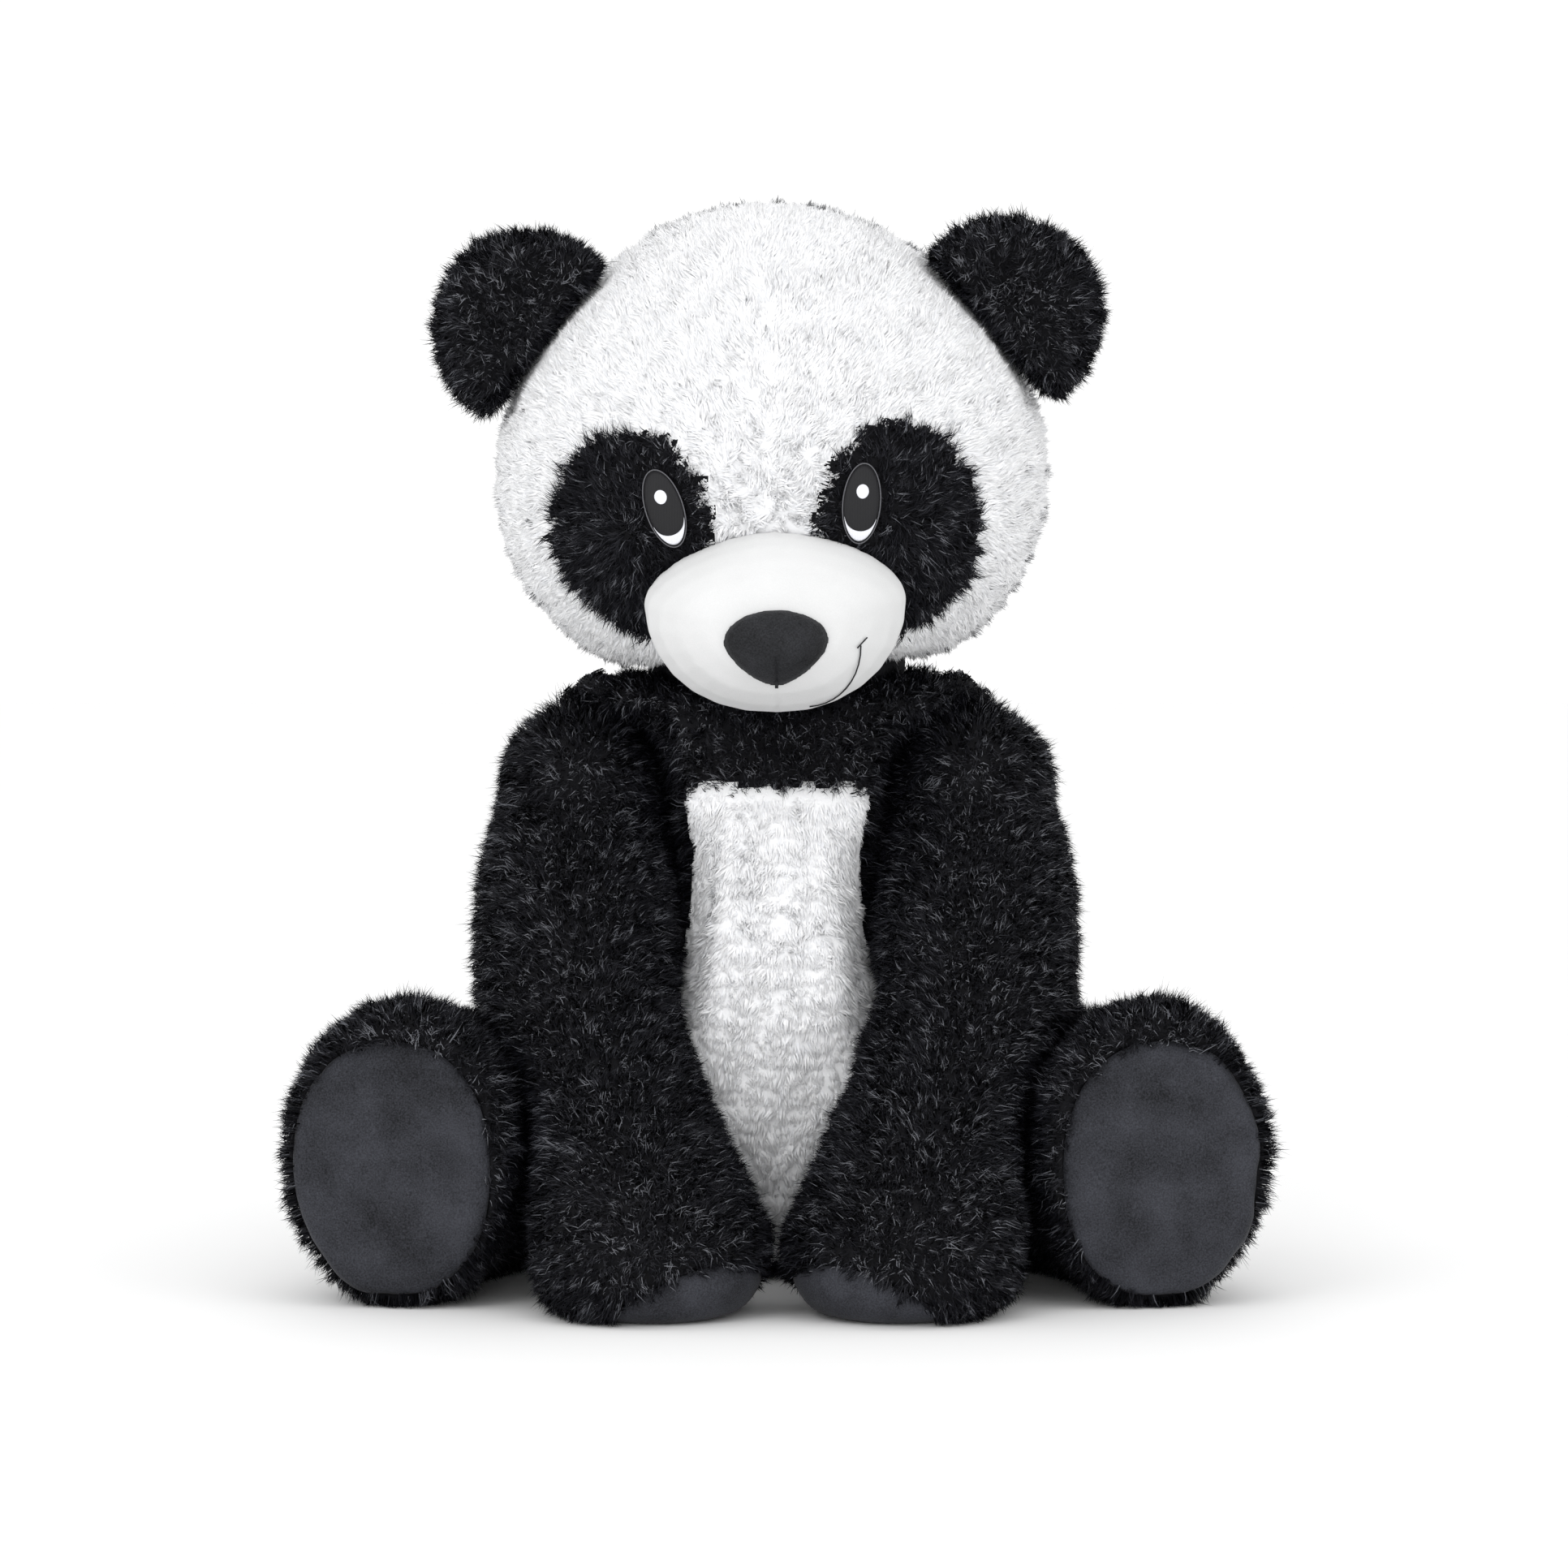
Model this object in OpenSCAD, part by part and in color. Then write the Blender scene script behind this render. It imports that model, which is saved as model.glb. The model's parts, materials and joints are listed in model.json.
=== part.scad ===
// Seated plush panda: sewn fabric panels over stuffing, with limbs, head, ears and tail that flex.
// X runs from the toy's right side to its left, the face looks towards -Y and Z is up.
// The origin is on the floor, under the middle of the outline.

/* [Head] */
// Width of the head across the cheeks
head_w = 388; // [376:2:396]
// Height from the cheek level to the crown
head_up = 194; // [184:2:200]
// Depth of the head in front of its middle
head_front = 172; // [166:1:176]
// Depth of the head behind its middle
head_back = 168; // [160:1:176]
// Height of the cheek level over the floor
head_z = 565; // [562:1:570]
// Sideways lean of the head, in degrees
head_lean = 1.5; // [0:0.5:2]

/* [Face] */
// Width of the muzzle
muzzle_w = 182; // [172:2:188]
// Height of the muzzle
muzzle_h = 130; // [124:2:134]
// Reach of the muzzle in front of its middle
muzzle_len = 88; // [80:1:95]
// Width of the nose
nose_w = 73; // [62:1:76]
// Height of the nose
nose_h = 52; // [44:1:54]
// Width of an embroidered eye
eye_w = 25; // [24:1:32]
// Height of an embroidered eye
eye_h = 54; // [50:1:58]
// Distance between the middles of the eyes
eye_apart = 135; // [130:1:140]

/* [Ears and tail] */
// Diameter of an ear
ear_d = 134; // [120:2:136]
// Thickness of a stuffed ear
ear_thick = 42; // [34:1:46]
// Width of the tail
tail_w = 52; // [40:1:60]

/* [Limbs] */
// Radius of the ball of stuffing at a shoulder
shoulder_r = 58; // [54:1:60]
// Radius of the ball of stuffing at a hip
hip_r = 74; // [70:1:76]
// Half the height of a foot
foot_r = 103; // [98:1:104]
// How far an arm lifts, in degrees
arm_lift = 45; // [30:1:45]
// How far a leg spreads, in degrees
leg_spread = 22; // [10:1:22]

/* [Fabric] */
// Thickness of the long-pile fabric, with its standing pile
fur = 6; // [4:0.5:7]
// Thickness of the velour
velour = 3; // [2:0.5:4]
// Space between neighbouring panels at a seam
seam = 0.6; // [0.5:0.1:1]

/* [Hidden] */

black = [0.09, 0.09, 0.11];
white = [0.93, 0.94, 0.95];
cream = [0.92, 0.91, 0.89];
charcoal = [0.20, 0.21, 0.23];
fill_colour = [0.97, 0.97, 0.95];

// The parts are laid out round the torso's axis, and this moves them to the middle of the outline
layout_y = 44;
// How far the stuffing lies under the back of the fabric
fill_gap = 1.6;
// Space between two bodies that move against each other
body_gap = 3;

// ---- Points and grids ----

function unit(v) = v / norm(v);
function mix(a, b, t) = a * (1 - t) + b * t;
function inset(p, core, d) = norm(p - core) < 0.001 ? p : p - d * unit(p - core);
// The row of a table at a whole or part place
function row_at(table, t) = let(k = min(floor(t), len(table) - 2)) mix(table[k], table[k + 1], t - k);
function steps(a, b, n) = [for (i = [0:n]) mix(a, b, i / n)];
function flat(rows) = [for (r = rows) each r];
function mirrored(p, side) = [side * p[0], p[1], p[2]];

// Two triangles for each cell of an n by m grid, counted from first
function cells(n, m, first, turned, ring) = [
    for (i = [0:n - 2], j = [0:(ring ? m - 1 : m - 2)])
        let(a = first + i * m + j, b = first + i * m + (j + 1) % m, c = b + m, d = a + m)
        each turned ? [[a, c, b], [a, d, c]] : [[a, b, c], [a, c, d]]];

// Two triangles for each step along an edge between an outer and an inner line
function wall(outer, inner, turned) = [
    for (k = [0:len(outer) - 2])
        let(a = outer[k], b = outer[k + 1], c = inner[k + 1], d = inner[k])
        each turned ? [[a, c, b], [a, d, c]] : [[a, b, c], [a, c, d]]];

function whole(t, pts) = pts[t[0]] != pts[t[1]] && pts[t[1]] != pts[t[2]] && pts[t[2]] != pts[t[0]];

// A closed solid from a grid whose first and last rows are points
module blob(grid, turned = false) {
    pts = flat(grid);
    faces = cells(len(grid), len(grid[0]), 0, turned, true);
    polyhedron(pts, [for (t = faces) if (whole(t, pts)) t]);
}

// A closed panel between an outer and an inner grid. A ring closes on itself along each row
module panel(outer, inner, turned = false, ring = false) {
    n = len(outer);
    m = len(outer[0]);
    size = n * m;
    pts = concat(flat(outer), flat(inner));
    row = function(i, from) [for (j = [0:(ring ? m : m - 1)]) from + i * m + j % m];
    column = function(j, from) [for (i = [0:n - 1]) from + i * m + j];
    sides = ring ? [] : concat(
        wall(column(0, 0), column(0, size), turned),
        wall(column(m - 1, 0), column(m - 1, size), !turned));
    faces = concat(
        cells(n, m, 0, turned, ring),
        cells(n, m, size, !turned, ring),
        wall(row(0, 0), row(0, size), !turned),
        wall(row(n - 1, 0), row(n - 1, size), turned),
        sides);
    polyhedron(pts, [for (t = faces) if (whole(t, pts)) t]);
}

// A panel between two depths of a shape, on lists of its two coordinates
module cut_panel(shape, us, vs, d_out, d_in, turned = false, ring = false) {
    panel([for (v = vs) [for (u = us) shape(u, v, d_out)]],
          [for (v = vs) [for (u = us) shape(u, v, d_in)]], turned, ring);
}

function turn(n) = [for (i = [0:n - 1]) i * 360 / n];

// ---- Arms, for the side with positive x ----

shoulder = [138, -8, 335];
lift_axis = unit([-0.96, -0.10, 0.26]);
// Each row: height, middle x, middle y, half width, half depth
arm_rings = concat(
    [[0, 85, -246, 0, 0],
     [0, 85, -246, 42, 34],
     [6, 85, -246, 64, 50],
     [24, 85, -243, 77, 59],
     [52, 85, -236, 80, 63],
     [88, 95, -214, 70, 61],
     [125, 105, -184, 61, 59],
     [160, 121, -151, 63, 57],
     [195, 139, -119, 67, 55],
     [235, 142, -86, 68, 57],
     [272, 142, -56, 68, 59],
     [305, 140, -28, 64, 60]],
    [for (a = [0:18:90])
        [shoulder[2] + shoulder_r * sin(a), shoulder[0], shoulder[1],
         shoulder_r * cos(a), shoulder_r * cos(a)]]);
arm_last = len(arm_rings) - 1;
// Where the pad ends: high towards the inner front of the paw, and low round the rest of it
pad_low = 2.15;
pad_high = 3.65;
pad_turn = -60;
function pad_edge(u) = pad_low + (pad_high - pad_low) * pow(max(0, cos(u - pad_turn)), 1.2);
function arm_point(side, u, v, d) = let(
    r = row_at(arm_rings, v),
    p = [r[1] + r[3] * sin(u), r[2] - r[4] * cos(u), r[0]],
    level = max(60, min(r[0], shoulder[2])),
    c = row_at(arm_rings, level < 88 ? 4 + (level - 52) / 36 : v))
    mirrored(inset(p, r[0] > shoulder[2] ? shoulder : [c[1], c[2], level], d), side);

function arm_table(k) = [for (i = [1:arm_last]) [arm_rings[i][0] + i * 0.0001, arm_rings[i][k]]];
arm_x = arm_table(1);
arm_y = arm_table(2);
arm_a = arm_table(3);
arm_b = arm_table(4);
function in_arm_at_rest(p, gap) = p[2] > shoulder[2]
    ? norm(p - shoulder) < shoulder_r + gap
    : pow((p[0] - lookup(p[2], arm_x)) / (lookup(p[2], arm_a) + gap), 2)
        + pow((p[1] - lookup(p[2], arm_y)) / (lookup(p[2], arm_b) + gap), 2) < 1;

// A point turned about an axis through a pivot
function turned_about(p, pivot, axis, angle) = let(r = p - pivot)
    pivot + r * cos(angle) + cross(axis, r) * sin(angle) + axis * (axis * r) * (1 - cos(angle));
function in_arm(p, gap) = p[2] < 440 && p[0] > 20 && len([
    for (a = [0:arm_lift / 3:arm_lift])
        if (in_arm_at_rest(turned_about(p, shoulder, lift_axis, -a), gap)) a]) > 0;

// ---- Legs, for the side with positive x ----

hip = [146, 8];
knee = [246, -62];
ankle = [258, -213];
hip_z = 94;
// Half the height of the ball at the hip
hip_h = 86;
function leg_spine(t) = hip * pow(1 - t, 2) + knee * 2 * t * (1 - t) + ankle * t * t;
function leg_way(t) = unit((knee - hip) * (1 - t) + (ankle - knee) * t);
// Each row: place along the leg, distance behind it, half width, half height, middle height
leg_rings = concat(
    [for (a = [90:-18:18]) [0, hip_r * sin(a), hip_r * cos(a), hip_h * cos(a), hip_z]],
    [[0, 0, hip_r, hip_h, hip_z],
     [0.2, 0, 73, 87, 93],
     [0.4, 0, 70, 89, 94],
     [0.6, 0, 68, 92, 96],
     [0.76, 0, 71, 97, 99],
     [0.88, 0, 77, foot_r, foot_r],
     [0.96, 0, 79, foot_r, foot_r],
     [1, 0, 76, 96, 101],
     [1, -6, 70, 87, 93],
     [1, -9, 38, 46, 92],
     [1, -10, 0, 0, 92]]);
leg_last = len(leg_rings) - 1;
sole_edge = leg_last - 2.3;
function leg_centre(r) = let(q = leg_spine(r[0]) - leg_way(r[0]) * r[1]) [q[0], q[1], r[4]];
function leg_point(side, u, v, d) = let(
    r = row_at(leg_rings, v),
    c = leg_centre(r),
    w = leg_way(r[0]),
    p = c + [-w[1] * r[2] * sin(u), w[0] * r[2] * sin(u), r[3] * cos(u)],
    core_t = min(r[0], 0.76),
    core = leg_spine(core_t))
    mirrored(inset(p, [core[0], core[1], r[1] > 0 ? hip_z : r[4]], d), side);

function in_leg(p, gap) = p[0] > 20 && p[2] < 200 && len([
    for (a = [0:leg_spread / 2:leg_spread], k = [0:0.08:0.56])
        let(q = leg_spine(k), c = turned_about([q[0], q[1], 0], [hip[0], hip[1], 0], [0, 0, 1], a))
        if (pow(norm([p[0] - c[0], p[1] - c[1]]) / (hip_r + gap), 2)
            + pow((p[2] - hip_z) / (hip_h + 2 + gap), 2) < 1) k]) > 0;

// ---- Torso ----

torso_y = 30;
torso_core = [0, torso_y, 190];
// Each row: height, half width, middle y, depth in front, depth behind
torso_rings = [
    [0, 0, torso_y, 0, 0],
    [0, 146, torso_y, 92, 104],
    [14, 170, torso_y, 118, 122],
    [50, 188, torso_y, 142, 132],
    [80, 193, torso_y, 149, 135],
    [110, 196, torso_y, 151, 136],
    [140, 197, torso_y, 151, 136],
    [170, 194, torso_y, 150, 135],
    [200, 187, torso_y, 148, 132],
    [230, 176, torso_y, 143, 128],
    [265, 163, torso_y, 134, 122],
    [300, 151, 29, 125, 115],
    [335, 141, 26, 114, 108],
    [365, 136, 20, 100, 102],
    [392, 135, 10, 79, 96],
    [405, 160, 5, 65, 88],
    [415, 149, 0, 49, 73],
    [423, 135, -3, 33, 54],
    [430, 108, -4, 19, 36],
    [433, 62, -5, 9, 18],
    [434, 0, -5, 0, 0]];
torso_last = len(torso_rings) - 1;
function torso_flat(r, u) = [r[1] * sin(u), r[2] - (cos(u) > 0 ? r[3] : r[4]) * cos(u), r[0]];

function in_limb(p, gap) = let(q = [abs(p[0]), p[1], p[2]]) in_arm(q, gap) || in_leg(q, gap);
// The share of the way from c to p that stays clear of the limbs: a march, then a bisection
function refined(c, p, gap, low, high, n) = n == 0 ? low : let(m = (low + high) / 2)
    in_limb(mix(c, p, m), gap) ? refined(c, p, gap, low, m, n - 1) : refined(c, p, gap, m, high, n - 1);
function free_share(c, p, gap, k, n) = k > n ? 1
    : in_limb(mix(c, p, k / n), gap) ? refined(c, p, gap, (k - 1) / n, k / n, 5)
    : free_share(c, p, gap, k + 1, n);
function torso_share(u, v, gap) = let(r = row_at(torso_rings, v))
    free_share([0, r[2], r[0]], torso_flat(r, u), gap, 4, 14);
// The torso is pressed in where an arm or a leg lies against it, and a little way round each of them
press_u = 6;
press_v = 0.5;
function torso_point(u, v, d) = let(
    r = row_at(torso_rings, v),
    p = inset(torso_flat(r, u), torso_core, d),
    c = [0, r[2], p[2]],
    shares = [for (du = [-press_u, 0, press_u], dv = [-press_v, 0, press_v])
        torso_share(u + du, max(0, min(v + dv, torso_last)), body_gap + d)])
    mix(c, p, min(shares));
function torso_v(z) = let(k = [for (i = [1:torso_last - 1]) if (torso_rings[i + 1][0] > z) i][0])
    k + (z - torso_rings[k][0]) / (torso_rings[k + 1][0] - torso_rings[k][0]);

// ---- Head ----

head_mid = [0, -8, head_z];
head_down = 152;
// The head is a rounded box, a little squarer at the cheeks than at the crown
cheek_power = 2.12;
crown_power = 1.85;
crown_rise = 120;
function head_power(z) = mix(cheek_power, crown_power, max(0, min(1, (z - head_z) / crown_rise)));
neck_pivot = [0, -5, 437];
head_cut = 440;
function head_size(way) = [head_w / 2, way[1] < 0 ? head_front : head_back, way[2] > 0 ? head_up : head_down];
function in_head(r) = let(s = head_size(r), n = head_power(head_z + r[2]))
    pow(abs(r[0]) / s[0], n) + pow(abs(r[1]) / s[1], n) + pow(abs(r[2]) / s[2], n) < 1;
// How far the head reaches along a way from its middle, by bisection
function reach_between(way, low, high, n) = n == 0 ? low : let(m = (low + high) / 2)
    in_head(way * m) ? reach_between(way, m, high, n - 1) : reach_between(way, low, m, n - 1);
function head_reach(way) = reach_between(way, head_down / 2, head_w, 16);
function cut_reach(way) = way[2] < -0.05 ? (head_z - head_cut) / -way[2] : 1000;
function head_way(u, v) = [sin(v) * sin(u), -sin(v) * cos(u), cos(v)];
function head_point(u, v, d) = let(way = head_way(u, v))
    head_mid + way * (min(head_reach(way), cut_reach(way)) - d);

// The y of the head's front under a point seen from the front
function head_y(x, z) = let(
    c = z > head_z ? head_up : head_down,
    n = head_power(z),
    left_over = 1 - pow(abs(x) / (head_w / 2), n) - pow(abs(z - head_z) / c, n))
    head_mid[1] - head_front * pow(max(0, left_over), 1 / n);

// The plug of stuffing in the neck is a slice of a ball, and the head's stuffing is hollowed over it
neck_ball = [0, -5, 400];
neck_ball_r = 52;
neck_hollow_r = 60;
function hollow_reach(way) = let(
    oc = head_mid - neck_ball,
    b = oc * way,
    k = b * b - oc * oc + neck_hollow_r * neck_hollow_r)
    k > 0 && b < 0 ? -b - sqrt(k) : 1000;
neck_opening = 146;
function head_fill_point(u, v) = let(way = head_way(u, v), d = v > neck_opening ? 1 : fur + fill_gap)
    head_mid + way * min(head_reach(way) - d, cut_reach(way) - d, hollow_reach(way));

// The head leans about the neck
module posed() {
    translate([0, layout_y, 0]) translate(neck_pivot) rotate([0, -head_lean, 0]) translate(-neck_pivot)
        children();
}
module placed() { translate([0, layout_y, 0]) children(); }

seam_angle = seam * 0.4;
// The head is cut along the same lines as the stuffing is shaped
ear_u = 95;
head_us = concat(steps(0, ear_u, 7), [for (u = steps(ear_u, 180, 7)) if (u > ear_u) u]);
head_vs = steps(1.5, neck_opening, 13);
function between(list, low, high, gap) = [
    for (u = list) if (u > low - 0.01 && u < high + 0.01) max(low + gap, min(high - gap, u))];
function both_ways(us) = concat(us, [for (i = [len(us) - 2:-1:1]) 360 - us[i]]);
function negated(us) = [for (i = [len(us) - 1:-1:0]) -us[i]];
module head_panel(us) {
    posed() color(white)
        cut_panel(function(u, v, d) head_point(u, v, d), us, head_vs, 0, fur);
}
head_front_us = between(head_us, 0, ear_u, seam_angle);
head_back_us = between(head_us, ear_u, 180, seam_angle);
module head_front_left() { head_panel(head_front_us); }
module head_front_right() { head_panel(negated(head_front_us)); }
module head_back_left() { head_panel(head_back_us); }
module head_back_right() { head_panel(negated(head_back_us)); }
module head_stuffing() {
    posed() color(fill_colour)
        blob([for (v = concat([0], head_vs, steps(150, 180, 4)))
            [for (u = both_ways(head_us)) head_fill_point(u, v)]]);
}

// ---- Pieces sewn on the front of the head, as outlines seen from the front ----

// Layers over the head: lowest and highest face
patch_layer = [2.6, 4.7];
eye_layer = [5, 6];
rim_layer = [5, 6.3];
shine_layer = [6.4, 7.2];
eye_middle_z = 547;
// The eyes sit a little to the toy's right of the middle seam
eye_shift = -6.5;
patch_middle = [93, 529];
patch_half = [55, 72];
patch_shift = -6;
muzzle_middle = [0, -150, 482];

function tilted(x, z, angle) = [x * cos(angle) + z * sin(angle), z * cos(angle) - x * sin(angle)];
// A ring of points of an ellipse that is tilted outwards, at a share of its size
function oval(middle, half, tilt, share, phi) =
    middle + tilted(half[0] * share * cos(phi), half[1] * share * sin(phi), tilt);
function on_head(q, h) = [q[0], head_y(q[0], q[1]) - h, q[1]];

// How far an eye patch reaches before it meets the muzzle
muzzle_room = 5;
function off_muzzle(q) = muzzle_gauge(q[0], q[1] - muzzle_middle[2], muzzle_room) > 1;
function patch_share(middle, phi, low, high, n) = n == 0 ? low : let(m = (low + high) / 2)
    off_muzzle(oval(middle, patch_half, 0, m, phi)) ? patch_share(middle, phi, m, high, n - 1)
    : patch_share(middle, phi, low, m, n - 1);
module eye_patch(side) {
    middle = [side * patch_middle[0] + patch_shift, patch_middle[1]];
    posed() color(black)
        cut_panel(function(phi, share, h)
                on_head(oval(middle, patch_half, 0, share * patch_share(middle, phi, 0.3, 1, 8), phi), h),
            turn(28), [0, 0.3, 0.55, 0.8, 1], patch_layer[1], patch_layer[0], false, true);
}
module eye_patch_left() { eye_patch(1); }
module eye_patch_right() { eye_patch(-1); }

eye_half = [eye_w / 2, eye_h / 2];
eye_tilt_left = 6.5;
eye_tilt_right = -16.5;
function eye_middle(side) = [side * eye_apart / 2 + eye_shift, eye_middle_z];
function eye_tilt(side) = side > 0 ? eye_tilt_left : eye_tilt_right;
module eye_piece(side, shares, layer, half, offset, colour) {
    middle = eye_middle(side) + tilted(offset[0], offset[1], eye_tilt(side));
    posed() color(colour)
        cut_panel(function(phi, share, h) on_head(oval(middle, half, eye_tilt(side), share, phi), h),
            turn(24), shares, layer[1], layer[0], false, true);
}
module eye(side) { eye_piece(side, [0, 0.5, 1], eye_layer, eye_half, [0, 0], charcoal); }
module eye_rim(side) { eye_piece(side, [1.03, 1.10], rim_layer, eye_half, [0, 0], "silver"); }
// A round highlight above, and a crescent along the lower edge, between two angles
dot_half = [4.5, 5.3];
dot_share = 0.3;
crescent_from = 205;
crescent_to = 335;
crescent_rim = 0.97;
crescent_depth = 0.2;
function crescent_bow(phi) = sin((phi - crescent_from) * 180 / (crescent_to - crescent_from));
module eye_shine(side) {
    eye_piece(side, [0, 1], shine_layer, dot_half, [0, eye_half[1] * dot_share], white);
    posed() color(white)
        cut_panel(function(phi, k, h) on_head(oval(eye_middle(side), eye_half, eye_tilt(side),
                crescent_rim - k * (0.02 + crescent_depth * crescent_bow(phi)), phi), h),
            steps(crescent_from, crescent_to, 12), [0, 1], shine_layer[1], shine_layer[0], true);
}
module eye_left() { eye(1); }
module eye_right() { eye(-1); }
module eye_rim_left() { eye_rim(1); }
module eye_rim_right() { eye_rim(-1); }
module eye_shine_left() { eye_shine(1); }
module eye_shine_right() { eye_shine(-1); }

// ---- Muzzle, nose and mouth ----

muzzle_gap = 1.4;
// The outline is lower and more pointed above its widest line, and deeper and fuller below it
upper_share = 0.4;
upper_power = 1.7;
lower_power = 2.1;
// How far the tip of the dome lies under the widest line
muzzle_sag = 20;
function muzzle_reach(z) = muzzle_h * (z > 0 ? upper_share : 1 - upper_share);
// Under 1 inside the outline
function muzzle_gauge(x, z, room) = let(n = z > 0 ? upper_power : lower_power)
    pow(pow(abs(x) / (muzzle_w / 2 + room), n) + pow(abs(z) / (muzzle_reach(z) + room), n), 1 / n);
function muzzle_outline(phi) = let(n = sin(phi) > 0 ? upper_power : lower_power)
    [sign(cos(phi)) * muzzle_w / 2 * pow(abs(cos(phi)), 2 / n),
     sign(sin(phi)) * muzzle_reach(sin(phi)) * pow(abs(sin(phi)), 2 / n)];
function muzzle_ball(alpha, phi) = let(q = muzzle_outline(phi) * sin(alpha))
    muzzle_middle + [q[0], -muzzle_len * cos(alpha), q[1] - muzzle_sag * (1 - sin(alpha))];
function on_head_front(p) = head_y(p[0], max(p[2], head_cut + 2)) - muzzle_gap;
// The angle at which the dome meets the head
function muzzle_limit(phi, low, high, n) = n == 0 ? low : let(
    m = (low + high) / 2,
    p = muzzle_ball(m, phi))
    p[1] > on_head_front(p) ? muzzle_limit(phi, low, m, n - 1) : muzzle_limit(phi, m, high, n - 1);
function muzzle_point(phi, share, d) = let(
    p = inset(muzzle_ball(share * muzzle_limit(phi, 50, 106, 8), phi), muzzle_middle, d))
    [p[0], min(p[1], on_head_front(p) - d * 0.1), p[2]];
// How far the back of the stuffing lies in front of the head
back_gap = 2.5;
function muzzle_back(phi, share, d) = let(
    p = muzzle_point(phi, 1, d),
    q = [p[0] * share, 0, mix(muzzle_middle[2], p[2], share)])
    [q[0], on_head_front(q) - back_gap, q[2]];
module muzzle_cover() {
    posed() color(cream)
        cut_panel(function(phi, share, d) muzzle_point(phi, share, d),
            turn(28), [0, 0.15, 0.3, 0.45, 0.6, 0.75, 0.88, 1], 0, velour, false, true);
}
module muzzle_stuffing() {
    d = velour + 1.2;
    posed() color(fill_colour)
        blob(concat(
            [for (share = [0, 0.2, 0.4, 0.6, 0.8, 0.97]) [for (phi = turn(24)) muzzle_point(phi, share, d)]],
            [for (share = [0.8, 0.4, 0]) [for (phi = turn(24)) muzzle_back(phi, share, d)]]));
}

nose_middle = [0, 456];
nose_rise = 12;
// The mean distance from the nose's middle to its edge
nose_mean_r = 34;
// How far the nose's stuffing lies in front of the muzzle
nose_gap = 3;
// The size of the dome's ring through a point seen from the front, by bisection
function muzzle_ring(x, z, low, high, n) = n == 0 ? low : let(m = (low + high) / 2)
    muzzle_gauge(x, z - muzzle_middle[2] + muzzle_sag * (1 - m), 0) < m ? muzzle_ring(x, z, low, m, n - 1)
    : muzzle_ring(x, z, m, high, n - 1);
function muzzle_y(x, z) = muzzle_middle[1] - muzzle_len * sqrt(1 - pow(muzzle_ring(x, z, 0, 1, 12), 2));
// A rounded triangle: full at the top and drawn in to a blunt point below
nose_above = 0.85;
nose_below = 1.2;
nose_draw = 0.36;
function nose_outline(phi, share) = let(s = sin(phi), low = max(0, -s))
    nose_middle + share * [
        nose_w / 2 * cos(phi) * (1 - nose_draw * pow(low, 1.5)),
        nose_h / 2 * (s > 0 ? nose_above : nose_below) * s];
function nose_point(phi, share, d) = let(
    q = nose_outline(phi, share * (1 - d / nose_mean_r)),
    rise = 1 + (nose_rise - d) * sqrt(max(0, 1 - pow(share, 3))))
    [q[0], muzzle_y(q[0], q[1]) - rise, q[1]];
module nose_cover() {
    posed() color(charcoal)
        cut_panel(function(phi, share, d) nose_point(phi, share, d),
            turn(24), [0, 0.3, 0.55, 0.75, 0.9, 1], 0, velour * 0.8, false, true);
}
module nose_stuffing() {
    d = velour * 0.8 + 1;
    posed() color(fill_colour)
        blob(concat(
            [for (share = [0, 0.4, 0.7, 0.9]) [for (phi = turn(20)) nose_point(phi, share, d)]],
            [for (share = [0.9, 0]) [for (phi = turn(20))
                let(q = nose_outline(phi, share * 0.88)) [q[0], muzzle_y(q[0], q[1]) - nose_gap, q[1]]]]));
}

// A thread tube along points, with blunt ends
stitch_r = 0.5;
// How far the thread lies over the muzzle
stitch_rise = 0.6;
module thread(line) {
    n = len(line);
    way = [for (k = [0:n - 1]) unit(line[min(k + 1, n - 1)] - line[max(k - 1, 0)])];
    blob(concat(
        [[for (a = turn(6)) line[0]]],
        [for (k = [0:n - 1]) let(side = unit(cross(way[k], [0, 1, 0])), out = cross(side, way[k]))
            [for (a = turn(6)) line[k] + stitch_r * (side * cos(a) + out * sin(a))]],
        [[for (a = turn(6)) line[n - 1]]]));
}
function on_muzzle(x, z) = [x, muzzle_y(x, z) - stitch_r - stitch_rise, z];
// A one-sided smile with a short tick across its upper end
smile_foot = [22, 409];
smile_size = [35.5, 42];
tick_foot = [55, 449.5];
tick_size = 7;
module mouth_stitch() {
    posed() color(black) {
        thread([for (t = [0:9:90]) on_muzzle(
            smile_foot[0] + smile_size[0] * sin(t), smile_foot[1] + smile_size[1] * (1 - cos(t)))]);
        thread([for (t = [0, 0.5, 1]) on_muzzle(tick_foot[0] + tick_size * t, tick_foot[1] + tick_size * t)]);
    }
}

// ---- Ears ----

ear_middle = [168, -40, 676];
ear_gap = 5;
function off_head(q) = let(n = head_power(q[1]))
    pow(abs(q[0]) / (head_w / 2 + ear_gap), n) + pow(abs(q[1] - head_z) / (head_up + ear_gap), n)
        + pow(abs(ear_middle[1] - head_mid[1]) / head_front, n) > 1;
function ear_spot(r, phi) = [ear_middle[0] + r * cos(phi), ear_middle[2] + r * sin(phi)];
function ear_reach(phi, low, high, n) = n == 0 ? low : let(m = (low + high) / 2)
    off_head(ear_spot(m, phi)) ? ear_reach(phi, m, high, n - 1) : ear_reach(phi, low, m, n - 1);
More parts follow.
